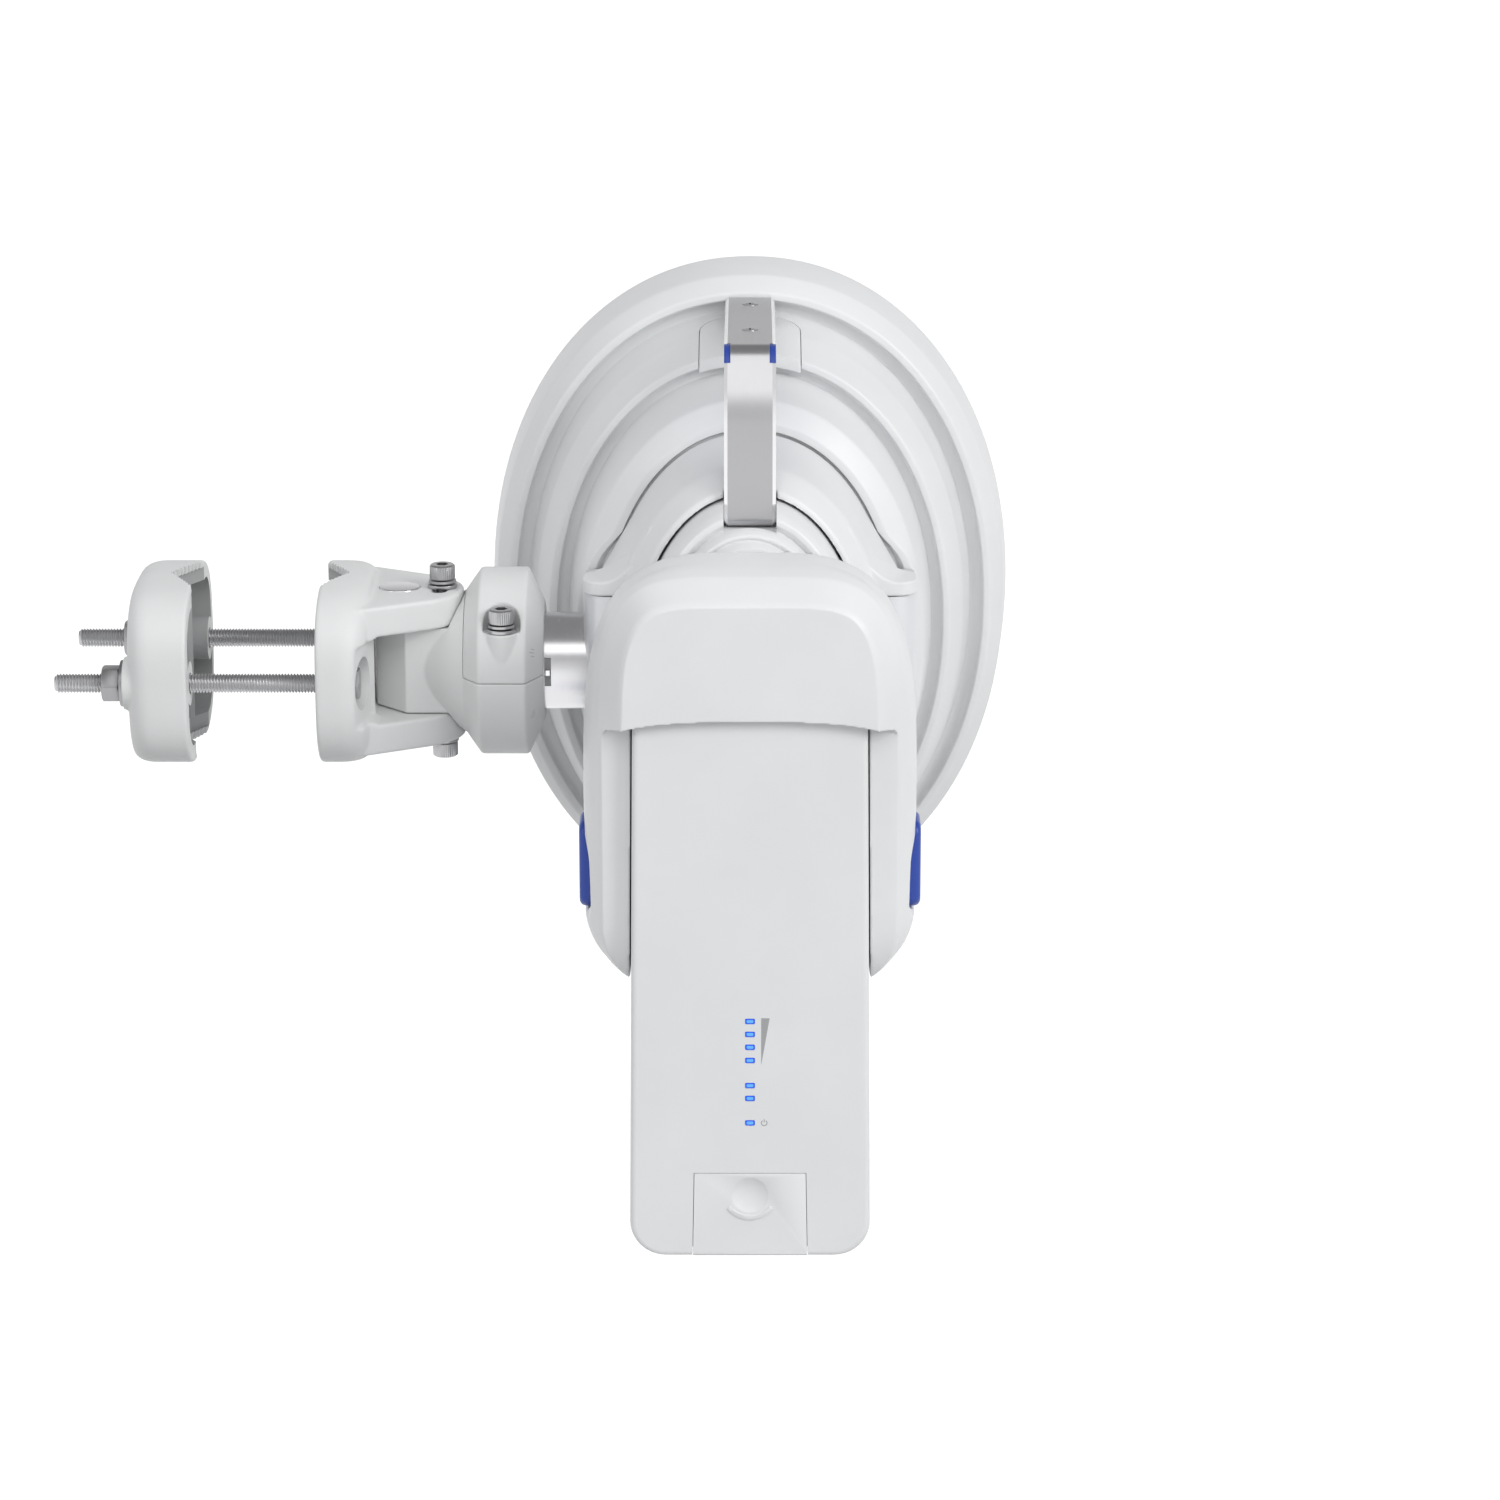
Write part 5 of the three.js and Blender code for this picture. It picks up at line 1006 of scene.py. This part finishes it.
def add_knuckle():
    dome = [(55.5, 0.01), (55.5, 13.6), (58.5, 15.2), (63, 18.6), (68, 22.4), (RING_START, 25.4),
            (RING_START, 0.01)]
    body = turned("x", soft_path(dome, [0, 0.1, 1.8, 2.2, 2.2, 0.1, 0], 6), 0, 0, 160)
    reach = ARM_IN - 0.35
    plan = [(40.9, -3.5), (52, -15.4), (68, -15.4), (68, 15.4), (52, 15.4), (40.9, 3.5)]
    lower_ring = cut(ring_solid(), box(70, 104, -40, 40, -0.08, 40))
    unite(body, prism("z", plan, -reach, reach), move(lower_ring, x=-0.01))
    for sign in (-1, 1):
        z0, z1 = sorted((sign * reach, sign * 38))
        cut(body, rod("z", 23.15, z0, z1, PIVOT, 0, 128))
    cut(body, rod("z", 2.7, -20, -8, PIVOT + ARC, 0, 48), rod("z", 2.7, 0.8, 20, PIVOT + ARC, 0, 48))
    cut(body, rod("x", TUBE_BORE, 74.6, 103, 0, 0, 128))
    for side, _ in SIDES:
        cut(body, rod("z", 2.7, -12, 1, RING_SCREW, side * RING_SCREW_SIDE, 48))
    cut(body, rod("z", 7.55, -34, 34, PIVOT, 0, 96))
    finish(soften(body, 0.4, 3, 0.35), "swivel_knuckle", "knuckle", CASTING, ["knuckle"], 50)


def add_pin():
    path = soft_path([(-26.8, 0), (-26.8, 7.2), (27.2, 7.2), (27.2, 0)], [0, 0.6, 0.6, 0], 3)
    body = turned("z", path, PIVOT, 0, 96)
    finish(body, "swivel_pin", "fork", PIN, ["pivot_pin"])


def threaded(axis, minor, major, pitch, start, end, u, v, count=28):
    """A screw thread with tapered ends."""
    rows = int((end - start) / pitch * 6)
    sections = []
    for i in range(rows + 1):
        along = start + (end - start) * i / rows
        fade = min(1, (along - start) / pitch, (end - along) / pitch)
        section = []
        for j in range(count):
            angle = 2 * math.pi * j / count
            phase = (along / pitch - j / count) % 1
            ridge = abs(2 * phase - 1)
            radius = minor + (major - minor) * ridge * max(0, fade) - (1 - max(0, fade)) * 0.3
            section.append(spot(axis, along, u + radius * math.cos(angle), v + radius * math.sin(angle)))
        sections.append(section)
    return loft(sections)


def hexagon(flats, u, v):
    corner = flats / math.sqrt(3)
    angles = [math.radians(60 * k) for k in range(6)]
    return [(u + corner * math.cos(a), v + corner * math.sin(a)) for a in angles]


def chamfered_hex(axis, flats, start, end, u, v):
    corner = flats / math.sqrt(3)
    narrow, wide = corner - 0.75, corner + 0.1
    path = [(start, narrow), (start + 0.5, wide), (end - 0.5, wide), (end, narrow)]
    return meet(prism(axis, hexagon(flats, u, v), start, end), turned(axis, path, u, v, 64))


def add_rods():
    for side, word in SIDES:
        y = side * ROD_SIDE
        end = HEAD_SEAT + 0.3
        body = threaded("x", 2.75, 3.48, 1.08, end - 101, end + 0.5, y, 0)
        head = chamfered_hex("x", 10, end, end + 6, y, 0)
        finish(join(body, head), "threaded_rod_" + word, "fork", ROD, ["clamp_rod_" + word], 45)
        x1 = NUT_SEAT - 1.9
        nut = cut(chamfered_hex("x", 11.4, x1 - 6.1, x1, y, 0), rod("x", 3.5, x1 - 8, x1 + 1, y, 0, 48))
        finish(bevel(nut, 0.12, 1), "flange_nut_" + word, "outer_jaw", STEEL, ["clamp_nut_" + word])
        x1 = NUT_SEAT - 0.3
        path = soft_path([(x1 - 1.3, 3.55), (x1 - 1.3, 8.2), (x1, 8.2), (x1, 3.55)], [0, 0.3, 0.3, 0], 2)
        disc = cut(turned("x", path, y, 0, 72), rod("x", 3.55, x1 - 3, x1 + 1, y, 0, 48))
        finish(disc, "rod_washer_" + word, "outer_jaw", STEEL, ["clamp_washer_" + word])


def socket_head(length):
    """A socket screw on Z with its seat at zero, as in the solid model."""
    low, top = 3.4, 8.5
    rings = [(low, 4.3, 0), (low + 0.25, 4.5, 1), (top - 0.6, 4.5, 1), (top - 0.45, 4.42, 0), (top, 3.9, 0)]
    steps = 144
    sections = []
    for z, radius, knurl in rings:
        section = []
        for k in range(steps):
            angle = 2 * math.pi * k / steps
            ridge = radius - 0.2 * knurl * (k % 4 in (0, 1))
            section.append((ridge * math.cos(angle), ridge * math.sin(angle), z))
        sections.append(section)
    head = loft(sections)
    cut(head, prism("z", hexagon(4, 0, 0), top - 2.6, top + 1))
    return join(head, threaded("z", 2.1, 2.5, 0.8, low - length, low + 0.2, 0, 0, 24))


def flat_washer():
    path = soft_path([(0.3, 2.7), (0.3, 5.3), (1.5, 5.3), (1.5, 2.7)], [0, 0.25, 0.25, 0], 2)
    return cut(turned("z", path, 0, 0, 72), rod("z", 2.7, 0, 3, 0, 0, 48))


def split_washer():
    """A spring washer: one square-section turn that is cut through."""
    corners = ((2.9, 0), (4.9, 0), (4.9, 1.05), (2.9, 1.05))
    sections = []
    for k in range(61):
        angle = math.radians(8 + 344 * k / 60)
        z = 1.8 + 0.25 * k / 60
        sections.append([(r * math.cos(angle), r * math.sin(angle), z + up) for r, up in corners])
    return bevel(loft(sections), 0.12, 1)


def add_screws():
    places = [("lock_bolt_top", 25, PIVOT + ARC, 0, ARM_OUT, False),
              ("lock_bolt_bottom", 25, PIVOT + ARC, 0, -ARM_OUT, True),
              ("ring_screw_near", 31.3, RING_SCREW, -RING_SCREW_SIDE, RING_SCREW_SEAT, False),
              ("ring_screw_far", 31.3, RING_SCREW, RING_SCREW_SIDE, RING_SCREW_SEAT, False)]
    for node, length, x, y, z, over in places:
        parts = (("screw", socket_head(length), ""), ("plain_washer", flat_washer(), "_flat_washer"),
                 ("split_washer", split_washer(), "_spring_washer"))
        for word, body, tail in parts:
            if over:
                move(move(body, mirror=1), mirror=2)  # half a turn about X
            finish(move(body, x, y, z), node + "_" + word, "knuckle", SCREW, [node + tail])


def add_scale_marks():
    """Tick marks on the ring's chamfer in two groups of three on either side of the split line, and the arms'
    swivel scale.
    """
    body = None
    for k in (-9, -8, -7, 10, 11, 12):
        angle = math.radians(180 + 2.5 * k)
        c, s = math.cos(angle), math.sin(angle)
        reach = 1.6 if k in (-8, 11) else 1.1
        sections = []
        for t in (0.0, 1.0):
            x = 98.2 - reach * t
            radius = 21 + (RING_END - x) * (RING_RADIUS - 21) / 5.8
            high, low = radius + 0.02, radius - 0.25
            corners = ((high, -0.1), (high, 0.1), (low, 0.1), (low, -0.1))
            sections.append([(x, r * c - half * s, r * s + half * c) for r, half in corners])
        tick = loft(sections)
        body = tick if body is None else join(body, tick)
    finish(body, "ring_scale", "knuckle", MARK, None)
    for sign, word in ((1, "top"), (-1, "bottom")):
        body = None
        for k in range(-4, 5):
            angle = math.radians(3 * k)
            r0, r1 = 19.4, 20.9 if k % 2 else 21.6
            c, s = math.cos(angle), math.sin(angle)
            corners = ((r0, 0.14), (r1, 0.14), (r1, -0.14), (r0, -0.14))
            line = [(PIVOT + r * c + half * s, r * s - half * c) for r, half in corners]
            z0, z1 = sorted((sign * (ARM_OUT - 0.2), sign * (ARM_OUT + 0.03)))
            tick = prism("z", line, z0, z1)
            body = tick if body is None else join(body, tick)
        finish(body, "swivel_scale_" + word, "fork", MARK, None)


def add_tube():
    start, end = 74.9, AXIS - 43.5
    path = soft_path([(start, 15), (start, 17.3), (end, 17.3), (end, 15)], [0, 0.5, 0.5, 0], 3)
    body = turned("x", path, 0, 0, 128)
    slot = box(101.3, 103.6, -20, -15.9, -5.2, 5.2)
    cut(body, rod("x", 15, start - 1, end + 1, 0, 0, 96), slot)
    piece = finish(body, "polished_side_tube", "antenna", [TUBE, MARK], ["mast_tube"])
    for face in piece.data.polygons:
        x, y, z = (value / MM for value in face.center)
        if 101.2 < x < 103.7 and -16.2 < y < -15.5 and abs(z) < 5.3:
            face.material_index = 1
    pointer = bevel(box(101.6, 103.3, -18.1, -15, -1.05, 1.05), 0.15, 1)
    finish(pointer, "pointer_bar", "antenna", PIN, ["tube_pointer"])


def dress_nodes():
    """The solids that stay as they are get their own finish."""
    looks = {"horn_flare": SPUN, "waveguide": SPUN, "cradle": DARK, "circuit_board": BOARD, "shield_can": STEEL,
             "ethernet_jack": STEEL, "rf_connector_left": BRASS, "rf_connector_right": BRASS}
    for node, look in looks.items():
        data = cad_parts[node].data
        data.materials.clear()
        data.materials.append(look)


add_camera()
add_background(0.6)
add_floor(-700)
add_area("key", (2.18, -1.6, 1.35), (0.15, 0, 0), (1.2, 1.2), 35)
add_area("fill", (-2, -1.7, 1.1), (0.05, 0, 0), (1.3, 1.3), 9)
add_area("front", (0.17, -2.3, 2.1), (0.15, 0, 0), (2.6, 1.3), 17.5)
add_horn()
add_radome()
add_collar()
add_column()
add_tail()
add_strap()
add_liner()
screw_head_flush(13, "strap_screw_head_near", "strap_screw_near")
screw_head_flush(70, "strap_screw_head_far", "strap_screw_far")
add_hood()
add_buttons()
add_radio()
add_lights()
add_symbols()
add_outer_jaw()
add_fork()
add_ring_cap()
add_knuckle()
add_pin()
add_rods()
add_screws()
add_scale_marks()
add_tube()
dress_nodes()
